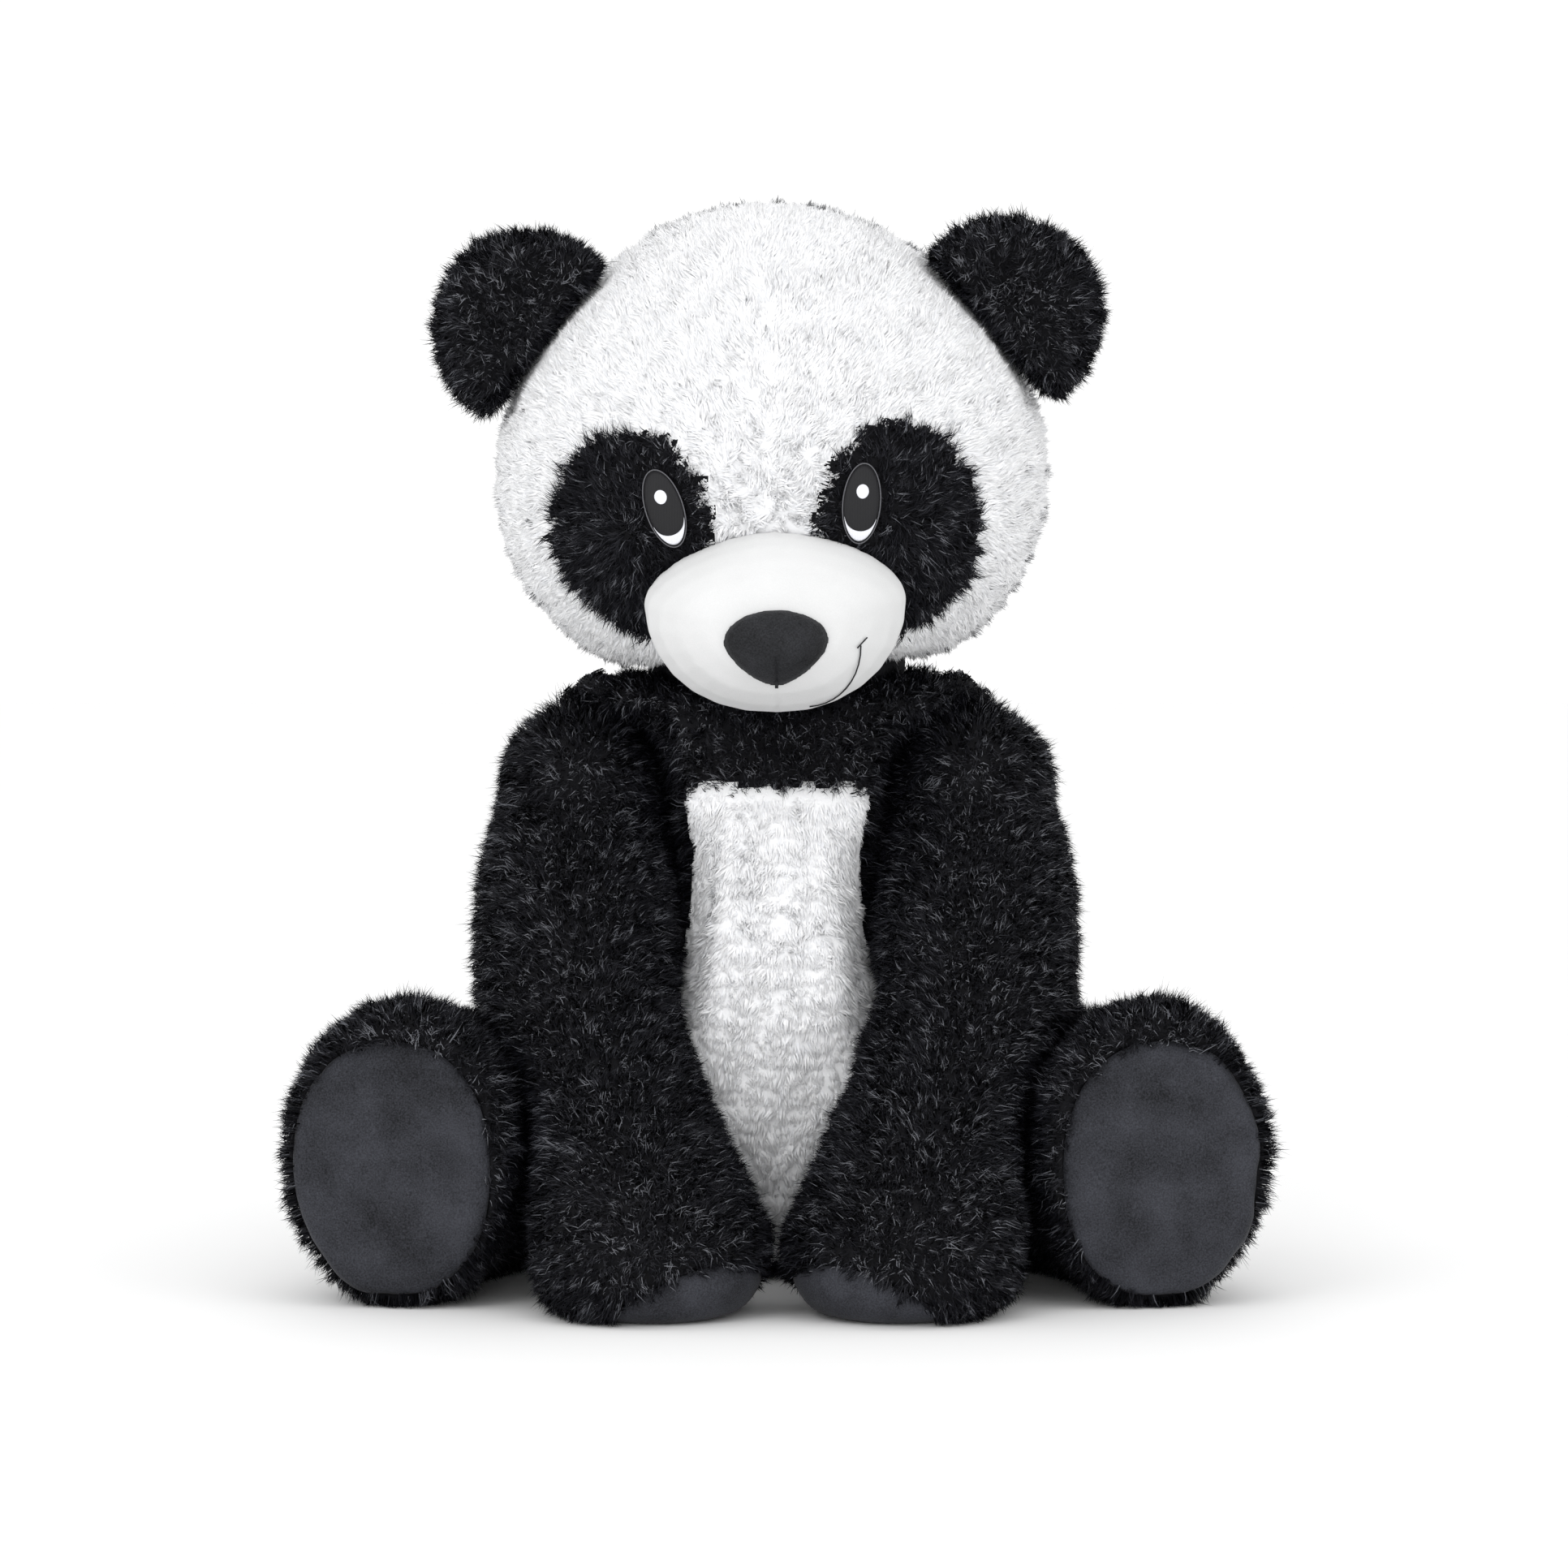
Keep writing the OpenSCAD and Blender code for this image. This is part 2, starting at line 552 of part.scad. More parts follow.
// Half the thickness over the ear's face: the front is cupped
function ear_front_rise(share) = sqrt(max(0, 1 - pow(share, 4))) * (1 - 0.55 * pow(1 - share * share, 2));
function ear_back_rise(share) = sqrt(max(0, 1 - pow(share, 4)));
function ear_point(side, face, phi, share, d) = let(
    q = ear_spot(share * (ear_reach(phi, 4, ear_d / 2, 9) - d), phi),
    rise = face > 0 ? ear_front_rise(share) : ear_back_rise(share),
    y = max(0, ear_thick / 2 * rise - d * sqrt(1 - pow(share, 6))) + seam / 2)
    [side * q[0], ear_middle[1] - face * y, q[1]];
ear_fill_shares = [0, 0.4, 0.7, 0.9];
ear_shares = concat(ear_fill_shares, [1]);
ear_phis = turn(18);
module ear_panel(side, face) {
    posed() color(black)
        cut_panel(function(phi, share, d) ear_point(side, face, phi, share, d),
            ear_phis, ear_shares, 0, fur - 1, side * face < 0, true);
}
module ear_stuffing(side) {
    d = fur + 1.8;
    posed() color(fill_colour)
        blob(concat(
            [for (share = ear_fill_shares) [for (phi = ear_phis) ear_point(side, 1, phi, share, d)]],
            [[for (phi = ear_phis) let(p = ear_point(side, 1, phi, 1, d)) [p[0], ear_middle[1], p[2]]]],
            [for (k = [len(ear_fill_shares) - 1:-1:0])
                [for (phi = ear_phis) ear_point(side, -1, phi, ear_fill_shares[k], d)]]), side < 0);
}
module ear_left_front() { ear_panel(1, 1); }
module ear_left_back() { ear_panel(1, -1); }
module ear_left_stuffing() { ear_stuffing(1); }
module ear_right_front() { ear_panel(-1, 1); }
module ear_right_back() { ear_panel(-1, -1); }
module ear_right_stuffing() { ear_stuffing(-1); }

// ---- Neck and torso pieces ----

module neck_stuffing() {
    placed() color(fill_colour) intersection() {
        translate(neck_ball) sphere(neck_ball_r, $fn = 64);
        translate([0, neck_pivot[1], neck_pivot[2]]) cylinder(h = 30, r = neck_ball_r, $fn = 64);
    }
}

belly_top = torso_v(346);
neck_edge = 17.5;
belly_u = 28;
back_u = 124;
v_gap = 0.03;
// The panels and the stuffing share one set of lines round the torso and up it
torso_us = concat(steps(0, belly_u, 2), [for (u = steps(belly_u, back_u, 8)) if (u > belly_u) u],
    [for (u = steps(back_u, 180, 4)) if (u > back_u) u]);
torso_vs = concat([for (k = [2:12]) k], [belly_top], [for (k = [13:17]) k], [neck_edge]);
module torso_panel(us, v0, v1) {
    placed() color(black)
        cut_panel(function(u, v, d) torso_point(u, v, d), us, between(torso_vs, v0, v1, v_gap), 0, fur, true);
}
yoke_us = between(torso_us, 0, back_u, seam_angle);
belly_us = between(torso_us, 0, belly_u, seam_angle);
side_us = between(torso_us, belly_u, back_u, seam_angle);
back_us = between(torso_us, back_u, 180, seam_angle);
function across(us) = concat(negated([for (u = us) if (u > 1) u]), [0], [for (u = us) if (u > 1) u]);
module chest_yoke() { torso_panel(across(yoke_us), belly_top, neck_edge); }
module side_left() { torso_panel(side_us, 2, belly_top); }
module side_right() { torso_panel(negated(side_us), 2, belly_top); }
module back_left() { torso_panel(back_us, 2, neck_edge); }
module back_right() { torso_panel(negated(back_us), 2, neck_edge); }
module belly_panel() {
    placed() color(white)
        cut_panel(function(u, v, d) torso_point(u, v, d), across(belly_us),
            between(torso_vs, 2, belly_top, v_gap), 0, fur, true);
}
module seat_panel() {
    placed() color(black)
        cut_panel(function(u, v, d) torso_point(u, v, d), both_ways(torso_us), [0, 1, 2 - 2 * v_gap],
            0, fur, true, true);
}
// The stuffing draws in at the top and the bottom, clear of the folds round the shoulders and hips
fill_low = 40;
fill_high = 372;
function fill_share(z) = z > fill_high || z < fill_low ? 0.8 : 0.97;
function body_fill_point(u, v) = let(p = torso_point(u, v, fur + 3 * fill_gap), share = fill_share(p[2]))
    [p[0] * share, mix(torso_y, p[1], share), p[2]];
module body_stuffing() {
    placed() color(fill_colour)
        blob([for (v = concat([0, 1], torso_vs, [18, torso_last]))
            [for (u = both_ways(torso_us)) body_fill_point(u, v)]], true);
}

// A blank tape sewn into the seam between the side and the back
label_size = [34, 0.8, 24];
label_place = [156, 117, 44];
label_turn = 32;
module care_label() {
    placed() color("white") translate(label_place) rotate([0, 0, label_turn]) cube(label_size);
}

tail_middle = [0, 190, 64];
tail_root_angle = 132;
// Half the length of the tail, and half its height
tail_half = [24, 22];
function tail_point(u, v, d) = tail_middle + [
    (tail_w / 2 - d) * sin(v) * sin(u), (tail_half[0] - d) * cos(v), (tail_half[1] - d) * sin(v) * cos(u)];
module tail_cover() {
    placed() color(black)
        cut_panel(function(u, v, d) tail_point(u, v, d), turn(16), steps(0, tail_root_angle, 6), 0, fur - 1,
            false, true);
}
module tail_stuffing() {
    placed() color(fill_colour)
        blob([for (v = steps(0, 180, 7)) [for (u = turn(16)) tail_point(u, v, fur + 0.6)]]);
}

// ---- Arm and leg pieces ----

arm_us = steps(0, 180, 8);
// The panel's lowest two rows follow the edge of the pad, and its last one stops short of the top
function over_pad(u, v) = v < 4 ? max(v, pad_edge(u) + v_gap * (v - 1)) : min(v, arm_last - 0.3);
module arm_panel(side, u0) {
    placed() color(black)
        cut_panel(function(u, v, d) arm_point(side, u, over_pad(u, v), d),
            between([for (u = arm_us) u0 + u], u0, u0 + 180, 2 * seam_angle),
            [for (k = [2:arm_last]) k], 0, fur, side > 0);
}
module paw_pad(side) {
    placed() color(charcoal)
        cut_panel(function(u, v, d) arm_point(side, u, min(v, pad_edge(u) - v_gap - (4 - v) * v_gap / 4), d),
            turn(16), [0, 1, 2, 3, 4], 0, velour, side > 0, true);
}
module arm_stuffing(side) {
    placed() color(fill_colour)
        blob([for (v = [0:arm_last]) [for (u = turn(16)) arm_point(side, u, v, fur + fill_gap)]], side > 0);
}
module arm_left_outer() { arm_panel(1, 0); }
module arm_left_inner() { arm_panel(1, 180); }
module arm_left_stuffing() { arm_stuffing(1); }
module arm_right_outer() { arm_panel(-1, 0); }
module arm_right_inner() { arm_panel(-1, 180); }
module arm_right_stuffing() { arm_stuffing(-1); }
module paw_pad_left() { paw_pad(1); }
module paw_pad_right() { paw_pad(-1); }

leg_us = steps(0, 180, 10);
module leg_panel(side, u0) {
    placed() color(black)
        cut_panel(function(u, v, d) leg_point(side, u, v, d),
            between([for (u = leg_us) u0 + u], u0, u0 + 180, 2 * seam_angle),
            concat([0.3], [for (k = [1:12]) k], [sole_edge - v_gap]), 0, fur, side < 0);
}
module sole(side) {
    placed() color(charcoal)
        cut_panel(function(u, v, d) leg_point(side, u, v, d),
            turn(20), [sole_edge + v_gap, 13, 14, 15], 0, velour, side < 0, true);
}
module leg_stuffing(side) {
    placed() color(fill_colour)
        blob([for (v = [0:leg_last]) [for (u = turn(20)) leg_point(side, u, v, fur + fill_gap)]], side < 0);
}
module leg_left_outer() { leg_panel(1, 0); }
module leg_left_inner() { leg_panel(1, 180); }
module leg_left_stuffing() { leg_stuffing(1); }
module leg_right_outer() { leg_panel(-1, 0); }
module leg_right_inner() { leg_panel(-1, 180); }
module leg_right_stuffing() { leg_stuffing(-1); }
module sole_left() { sole(1); }
module sole_right() { sole(-1); }

head_front_left();
head_front_right();
head_back_left();
head_back_right();
head_stuffing();
eye_patch_left();
eye_patch_right();
eye_left();
eye_right();
eye_rim_left();
eye_rim_right();
eye_shine_left();
eye_shine_right();
muzzle_cover();
muzzle_stuffing();
nose_cover();
nose_stuffing();
mouth_stitch();
ear_left_front();
ear_left_back();
ear_left_stuffing();
ear_right_front();
ear_right_back();
ear_right_stuffing();
neck_stuffing();
chest_yoke();
belly_panel();
side_left();
side_right();
back_left();
back_right();
seat_panel();
body_stuffing();
care_label();
tail_cover();
tail_stuffing();
arm_left_outer();
arm_left_inner();
paw_pad_left();
arm_left_stuffing();
arm_right_outer();
arm_right_inner();
paw_pad_right();
arm_right_stuffing();
leg_left_outer();
leg_left_inner();
sole_left();
leg_left_stuffing();
leg_right_outer();
leg_right_inner();
sole_right();
leg_right_stuffing();
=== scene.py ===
"""A large seated plush panda: the looks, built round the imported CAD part.

Every soft solid of the frame is wrapped in a smoothed skin. Long pile grows out of the skin as tufts of fine
blades, one piece for each fabric panel. The velour muzzle, nose, soles and paw pads are closed meshes of their own.
"""

import json
import math

import bmesh
import bpy
import numpy as np
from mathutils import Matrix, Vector
from mathutils.bvhtree import BVHTree
from mathutils.kdtree import KDTree

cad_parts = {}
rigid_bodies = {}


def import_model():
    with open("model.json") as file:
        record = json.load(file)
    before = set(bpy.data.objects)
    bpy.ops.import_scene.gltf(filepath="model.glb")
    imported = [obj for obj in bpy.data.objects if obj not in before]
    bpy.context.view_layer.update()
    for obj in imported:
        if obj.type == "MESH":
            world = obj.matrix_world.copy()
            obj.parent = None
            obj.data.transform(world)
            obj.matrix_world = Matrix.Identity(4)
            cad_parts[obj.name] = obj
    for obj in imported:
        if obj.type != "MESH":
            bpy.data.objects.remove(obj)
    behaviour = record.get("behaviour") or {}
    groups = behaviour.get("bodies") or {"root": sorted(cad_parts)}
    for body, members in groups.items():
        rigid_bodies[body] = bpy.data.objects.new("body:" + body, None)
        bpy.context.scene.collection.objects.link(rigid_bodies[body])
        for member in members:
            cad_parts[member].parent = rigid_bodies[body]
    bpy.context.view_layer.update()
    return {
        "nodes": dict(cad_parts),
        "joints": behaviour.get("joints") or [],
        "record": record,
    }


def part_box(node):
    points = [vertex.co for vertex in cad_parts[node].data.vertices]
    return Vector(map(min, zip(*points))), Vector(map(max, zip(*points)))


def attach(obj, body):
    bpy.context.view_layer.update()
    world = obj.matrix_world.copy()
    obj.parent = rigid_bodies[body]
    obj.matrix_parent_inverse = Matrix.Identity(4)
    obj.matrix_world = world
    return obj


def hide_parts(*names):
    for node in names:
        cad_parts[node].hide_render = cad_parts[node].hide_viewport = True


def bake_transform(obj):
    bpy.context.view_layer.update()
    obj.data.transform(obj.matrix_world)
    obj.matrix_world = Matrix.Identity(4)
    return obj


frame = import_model()
NODES = frame["nodes"]
BODIES = frame["record"]["behaviour"]["bodies"]
MM = 0.001
TURN = 6.28  # radians, a whole turn for random angles
DOWN = np.array([0, 0, -1.0])
SIDES = (("left", 1), ("right", -1))
NECK = np.array(next(j for j in frame["joints"] if j["name"] == "neck_turn")["pos_m"])


# ---------------------------------------------------------------- materials

def new_material(name):
    m = bpy.data.materials.new(name)
    m.use_nodes = True
    return m, m.node_tree, m.node_tree.nodes["Principled BSDF"]


def surface(p, roughness, specular, sheen=0.0, sheen_roughness=0.5):
    p.inputs["Roughness"].default_value = roughness
    p.inputs["Specular IOR Level"].default_value = specular
    p.inputs["Sheen Weight"].default_value = sheen
    p.inputs["Sheen Roughness"].default_value = sheen_roughness


def woven(nt, p, tone, height, tones, positions, strength, depth):
    """Colour from one pattern and bump from another."""
    ramp = nt.nodes.new("ShaderNodeValToRGB")
    for stop, position, colour in zip(ramp.color_ramp.elements, positions, tones):
        stop.position = position
        stop.color = (*colour, 1)
    raised = nt.nodes.new("ShaderNodeBump")
    raised.inputs["Strength"].default_value = strength
    raised.inputs["Distance"].default_value = depth * MM
    nt.links.new(tone, ramp.inputs["Fac"])
    nt.links.new(ramp.outputs["Color"], p.inputs["Base Color"])
    nt.links.new(height, raised.inputs["Height"])
    nt.links.new(raised.outputs["Normal"], p.inputs["Normal"])


def plain(name, colour, roughness, sheen, specular):
    """One shade of fibre. A fur piece holds several of these, blade by blade."""
    m, _, p = new_material(name)
    p.inputs["Base Color"].default_value = (*colour, 1)
    surface(p, roughness, specular, sheen)
    return m


def fabric(name, low, high, grain, roughness=0.85, sheen=0.1, bump=0.3, depth=0.3, patch=30.0, fleck=0.45):
    """Cloth whose colour wanders between two tones, with a fine nap in its bump."""
    m, nt, p = new_material(name)
    coords = nt.nodes.new("ShaderNodeTexCoord")
    noises = []
    for scale, detail in ((patch, 4), (grain, 3)):
        noise = nt.nodes.new("ShaderNodeTexNoise")
        noise.inputs["Scale"].default_value = scale
        noise.inputs["Detail"].default_value = detail
        nt.links.new(coords.outputs["Object"], noise.inputs["Vector"])
        noises.append(noise.outputs["Fac"])
    both = nt.nodes.new("ShaderNodeMix")
    both.inputs[0].default_value = fleck
    nt.links.new(noises[0], both.inputs[2])
    nt.links.new(noises[1], both.inputs[3])
    woven(nt, p, both.outputs[0], noises[1], (low, high), (0.35, 0.65), bump, depth)
    surface(p, roughness, 0.2, sheen, 0.4)
    return m


def thread_cloth(name, colour, groove_shade=0.55, pitch=0.8, angle=0.0, roughness=0.5):
    """Satin stitching: fine parallel threads, in colour and in bump. The colour is painted shade: it darkens where the
    bump is low, between the threads.
    """
    m, nt, p = new_material(name)
    coords = nt.nodes.new("ShaderNodeTexCoord")
    turn = nt.nodes.new("ShaderNodeMapping")
    turn.inputs["Rotation"].default_value = (0, angle, 0)
    wave = nt.nodes.new("ShaderNodeTexWave")
    wave.wave_type = "BANDS"
    wave.bands_direction = "X"
    wave.inputs["Scale"].default_value = 2 * math.pi / (20 * pitch * MM)  # at scale 1 a band is 2 pi / 20 wide
    wave.inputs["Distortion"].default_value = 1.5
    wave.inputs["Detail"].default_value = 3
    wave.inputs["Detail Scale"].default_value = 4
    nt.links.new(coords.outputs["Object"], turn.inputs["Vector"])
    nt.links.new(turn.outputs["Vector"], wave.inputs["Vector"])
    # The ramp's dark end falls where the bump is low: painted shade between the threads
    woven(nt, p, wave.outputs["Fac"], wave.outputs["Fac"], ([c * groove_shade for c in colour], colour), (0, 1), 0.5, 0.3)
    surface(p, roughness, 0.3)
    return m


WHITE_SHADES = [plain("white_fibre_a", (0.965, 0.97, 0.985), 0.9, 0.2, 0.2),
                plain("white_fibre_b", (0.985, 0.987, 0.995), 0.9, 0.2, 0.2),
                plain("white_fibre_c", (0.93, 0.94, 0.965), 0.9, 0.2, 0.2)]
# The third black shade, a light grey, is a painted glint: blades coloured as though they caught the light
BLACK_SHADES = [plain("black_fibre_a", (0.0040, 0.0042, 0.0066), 0.6, 0.0, 0.12),
                plain("black_fibre_b", (0.014, 0.0145, 0.020), 0.5, 0.0, 0.25),
                plain("black_fibre_painted_glint", (0.13, 0.135, 0.155), 0.4, 0.0, 0.5)]
WHITE_BACKING = fabric("white_backing", (0.94, 0.945, 0.96), (0.97, 0.975, 0.985), 600)
BLACK_BACKING = fabric("black_backing", (0.003, 0.003, 0.004), (0.007, 0.007, 0.009), 600, sheen=0.0)
CREAM = fabric("cream_velour", (0.67, 0.675, 0.675), (0.73, 0.732, 0.735), 1100, 0.9, 0.04, 0.5, 0.3, 16, 0.4)
CHARCOAL = fabric("charcoal_velour", (0.006, 0.0062, 0.0078), (0.050, 0.052, 0.063), 900, 0.8, 0.06, 1.0, 0.5, 22, 0.5)
NOSE_VELOUR = fabric("nose_velour", (0.003, 0.0031, 0.0036), (0.028, 0.029, 0.033), 900, 0.75, 0.04, 1.0, 0.5, 40,
                     0.55)
DARK_THREAD = thread_cloth("dark_thread", (0.012, 0.012, 0.0145), 0.4)
SILVER_THREAD = thread_cloth("silver_thread", (0.15, 0.15, 0.165), 0.5)
WHITE_THREAD = thread_cloth("white_thread", (0.88, 0.89, 0.95), 0.85)
TAPE = thread_cloth("label_tape", (0.85, 0.85, 0.85), 0.85, 0.5, math.pi / 2, 0.7)


# ---------------------------------------------------------------- meshes

def make(name, verts, faces, materials, smooth=True):
    mesh = bpy.data.meshes.new(name)
    mesh.from_pydata([tuple(v) for v in verts], [], [tuple(f) for f in faces])
    mesh.update()
    for m in materials if isinstance(materials, list) else [materials]:
        mesh.materials.append(m)
    mesh.polygons.foreach_set("use_smooth", np.full(len(mesh.polygons), smooth))
    ob = bpy.data.objects.new(name, mesh)
    bpy.context.scene.collection.objects.link(ob)
    return ob


def outwards(ob):
    """Turn every face of a closed mesh outwards."""
    bm = bmesh.new()
    bm.from_mesh(ob.data)
    bmesh.ops.recalc_face_normals(bm, faces=bm.faces)
    bm.to_mesh(ob.data)
    bm.free()
    return ob


def cad_triangles(name):
    """The vertices and triangles of a CAD node, as arrays."""
    mesh = NODES[name].data
    mesh.calc_loop_triangles()
    v = np.empty(len(mesh.vertices) * 3, np.float32)
    mesh.vertices.foreach_get("co", v)
    t = np.empty(len(mesh.loop_triangles) * 3, np.int32)
    mesh.loop_triangles.foreach_get("vertices", t)
    return v.reshape(-1, 3).astype(float), t.reshape(-1, 3)


def joined(names):
    """Some CAD nodes as one set of triangles, with the number of the node that each came from."""
    verts, tris, owner, n = [], [], [], 0
    for k, name in enumerate(names):
        v, t = cad_triangles(name)
        verts.append(v)
        tris.append(t + n)
        owner.append(np.full(len(t), k))
        n += len(v)
    return np.concatenate(verts), np.concatenate(tris), np.concatenate(owner)


def tree_of(names):
    v, t, owner = joined(names)
    return BVHTree.FromPolygons(v.tolist(), t.tolist()), owner


def skin_of(name, names, materials, voxel=5.0, rounds=14):
    """One continuous cover over some CAD nodes, with their facets and seams smoothed away."""
    v, t, _ = joined(names)
    ob = make(name, v, t, materials)
    remesh = ob.modifiers.new("remesh", "REMESH")
    remesh.mode = "VOXEL"
    remesh.voxel_size = voxel * MM
    remesh.use_smooth_shade = True
    smooth = ob.modifiers.new("smooth", "SMOOTH")
    smooth.factor = 0.5
    smooth.iterations = rounds
    mesh = bpy.data.meshes.new_from_object(ob.evaluated_get(bpy.context.evaluated_depsgraph_get()))
    coarse = ob.data
    ob.modifiers.clear()
    ob.data = mesh
    bpy.data.meshes.remove(coarse)
    return ob


def points(mesh):
    v = np.empty(len(mesh.vertices) * 3, np.float32)
    mesh.vertices.foreach_get("co", v)
    n = np.empty(len(mesh.vertices) * 3, np.float32)
    mesh.vertex_normals.foreach_get("vector", n)
    return v.reshape(-1, 3).astype(float), n.reshape(-1, 3).astype(float)


def move(ob, co):
    ob.data.vertices.foreach_set("co", co.astype(np.float32).ravel())
    ob.data.update()


def press(ob, amount):
    """Push the skin in along its normals by amount(points, normals), in metres."""
    co, no = points(ob.data)
    move(ob, co - no * amount(co, no)[:, None])


def unit(v):
    return v / np.maximum(np.linalg.norm(v, axis=-1, keepdims=True), 1e-12)


def step(x, low, high):
    t = np.clip((x - low) / (high - low), 0, 1)
    return t * t * (3 - 2 * t)


def waves(p, scale, seed, count=7):
    """A smooth random vector at each point, about 1 long, that changes over scale metres."""
    rng = np.random.default_rng(seed)
    out = np.zeros_like(p)
    for _ in range(count):
        k = unit(rng.normal(size=3)) * 2 * math.pi / scale * rng.uniform(0.6, 1.5)
        out += np.sin(p @ k + rng.uniform(0, TURN))[:, None] * rng.normal(size=3)
    return out / math.sqrt(count)


# ---------------------------------------------------------------- fur

ROOT_DEPTH = 1.2 * MM  # how far a blade starts under the skin
TUFT_SPREAD = 0.72  # a tuft's radius at the root, as a share of the spacing
FLOOR_GAP = 0.6 * MM  # the lowest a blade may hang
STL_BLADES = 66600  # at three triangles a blade, one STL file holds no more


def grow(name, roots, normals, shades, weights, length, spacing, comb, seed, share, blades, lean=0.5, curl=0.5,
         width=0.8, clump=0.6, scale=0.03, wild=0.2, facing=0.7, stand=0.65, coherent=0.25, stray=0.35):
    """Tufts of fine blades, one tuft at each root. A blade is a quad and a tip, and a tuft's blades draw together.
    A tuft leans with comb, curl and stray, and is share times as long as length. A blade stands up by stand before
    it bends over, strays from its tuft by wild, and twists round itself by facing. weights says how common each
    shade is, and coherent how many blades share their tuft's."""
    rng = np.random.default_rng(seed)
    n = len(roots)
    across = unit(np.cross(normals, rng.normal(size=(n, 3))))
    along = np.cross(normals, across)
    a = rng.uniform(0, TURN, n)
    shift = np.cos(a)[:, None] * across + np.sin(a)[:, None] * along
    roots = roots + shift * (rng.uniform(0, 0.8, n) * spacing)[:, None]
    swirl = waves(roots, scale, seed)
    swirl /= np.maximum(1, np.linalg.norm(swirl, axis=1))[:, None]
    flow = comb + curl * swirl + stray * rng.normal(size=(n, 3))
    flow -= (flow * normals).sum(1)[:, None] * normals
    tuft_way = unit(normals + lean * flow)
    tuft_len = length * rng.uniform(0.8, 1.15, n) * (1 + 0.16 * waves(roots, scale * 1.7, seed + 5)[:, 0]) * share
    total = n * blades
    r = np.sqrt(rng.uniform(0, 1, total)) * spacing * TUFT_SPREAD
    b = rng.uniform(0, TURN, total)
    ac, al, nn = (np.repeat(x, blades, 0) for x in (across, along, normals))
    offset = np.cos(b)[:, None] * ac * r[:, None] + np.sin(b)[:, None] * al * r[:, None]
    base = np.repeat(roots, blades, 0) + offset - nn * ROOT_DEPTH
    way = np.repeat(tuft_way, blades, 0)
    size = np.repeat(tuft_len, blades) * rng.uniform(0.75, 1.1, total)
    loose = wild * rng.normal(size=(total, 3))
    tip = base + (way + loose) * size[:, None] - offset * clump
    mid = base + (stand * nn + (1 - stand) * way + 0.4 * loose) * size[:, None] * 0.55 - offset * clump * 0.25
    side = unit(np.cross(tip - base, nn + facing * rng.normal(size=(total, 3)))) * (width * MM / 2)
    side *= rng.uniform(0.7, 1.3, total)[:, None]
    verts = np.stack([base - side, base + side, mid - side * 0.85, mid + side * 0.85, tip], 1).reshape(-1, 3)
    verts[:, 2] = np.maximum(verts[:, 2], FLOOR_GAP)

    # A blade is shaded as the tuft's rounded outside is, so the pile reads as soft and not as flakes
    swell = offset / (spacing * TUFT_SPREAD)
    up = unit(nn + 0.35 * swell + 0.2 * (way - nn))
    top = unit(nn + 0.25 * swell + 0.4 * (way - nn))
    norms = np.stack([up, up, up, up, top], 1).reshape(-1, 3)

    start = np.arange(total) * 5
    quad = np.stack([start, start + 1, start + 3, start + 2], 1)
    tri = np.stack([start + 2, start + 3, start + 4], 1)
    for corners, end in ((quad, mid - base), (tri, tip - mid)):
        inwards = (np.cross(side, end) * nn).sum(1) < 0
        corners[inwards] = corners[inwards][:, ::-1]
    loops = np.concatenate([quad, tri], 1).ravel()
    sizes = np.tile([4, 3], total)
    mesh = bpy.data.meshes.new(name)
    mesh.vertices.add(total * 5)
    mesh.vertices.foreach_set("co", verts.astype(np.float32).ravel())
    mesh.loops.add(len(loops))
    mesh.loops.foreach_set("vertex_index", loops.astype(np.int32))
    mesh.polygons.add(total * 2)
    mesh.polygons.foreach_set("loop_start", np.concatenate([[0], np.cumsum(sizes)[:-1]]).astype(np.int32))
    tuft_shade = rng.choice(len(shades), n, p=weights)
    own_shade = rng.choice(len(shades), total, p=weights)
    shade = np.where(rng.uniform(0, 1, total) < coherent, np.repeat(tuft_shade, blades), own_shade)
    mesh.polygons.foreach_set("material_index", np.repeat(shade, 2).astype(np.int32))
    mesh.polygons.foreach_set("use_smooth", np.ones(total * 2, bool))
    for m in shades:
        mesh.materials.append(m)
    mesh.update(calc_edges=True)
    mesh.normals_split_custom_set_from_vertices(norms.astype(np.float32))
    ob = bpy.data.objects.new(name, mesh)
    bpy.context.scene.collection.objects.link(ob)
    return ob


STYLE = {
    "white": dict(shades=WHITE_SHADES, weights=[0.45, 0.4, 0.15], slot="white_fur", length=9.5 * MM,
                  lean=1.7, curl=0.5, width=1.4, wild=0.09, scale=0.02, clump=0.35, facing=0.1, stand=0.1, stray=0.16),
    # Black: the last shade, a painted glint, goes on about 11% of the blades, and coherent 0.5 gathers it into
    # glinting tufts
    "black": dict(shades=BLACK_SHADES, weights=[0.52, 0.37, 0.11], slot="black_fur", length=10 * MM,
                  lean=0.55, curl=0.5, width=0.7, wild=0.2, scale=0.03, facing=0.5, coherent=0.5),
}


def nearest_node(co, no, names):
    """The number of the CAD node that lies nearest to a little outside each point."""
    tree, owner = tree_of(names)
    return np.array([owner[tree.find_nearest(Vector(p))[2]] for p in co + 3 * MM * no])


def room_to(*near):
    """Shortens a tuft where it would meet one of the neighbouring bodies."""
    tree = tree_of([n for body in near for n in BODIES[body]])[0]

    def share(co, no, length):
        gaps = [tree.ray_cast(Vector(p), Vector(n), length * 1.3)[3] for p, n in zip(co, no)]
        return np.array([1 if gap is None else max(0.3, gap / length / 1.3) for gap in gaps], float)
    return share


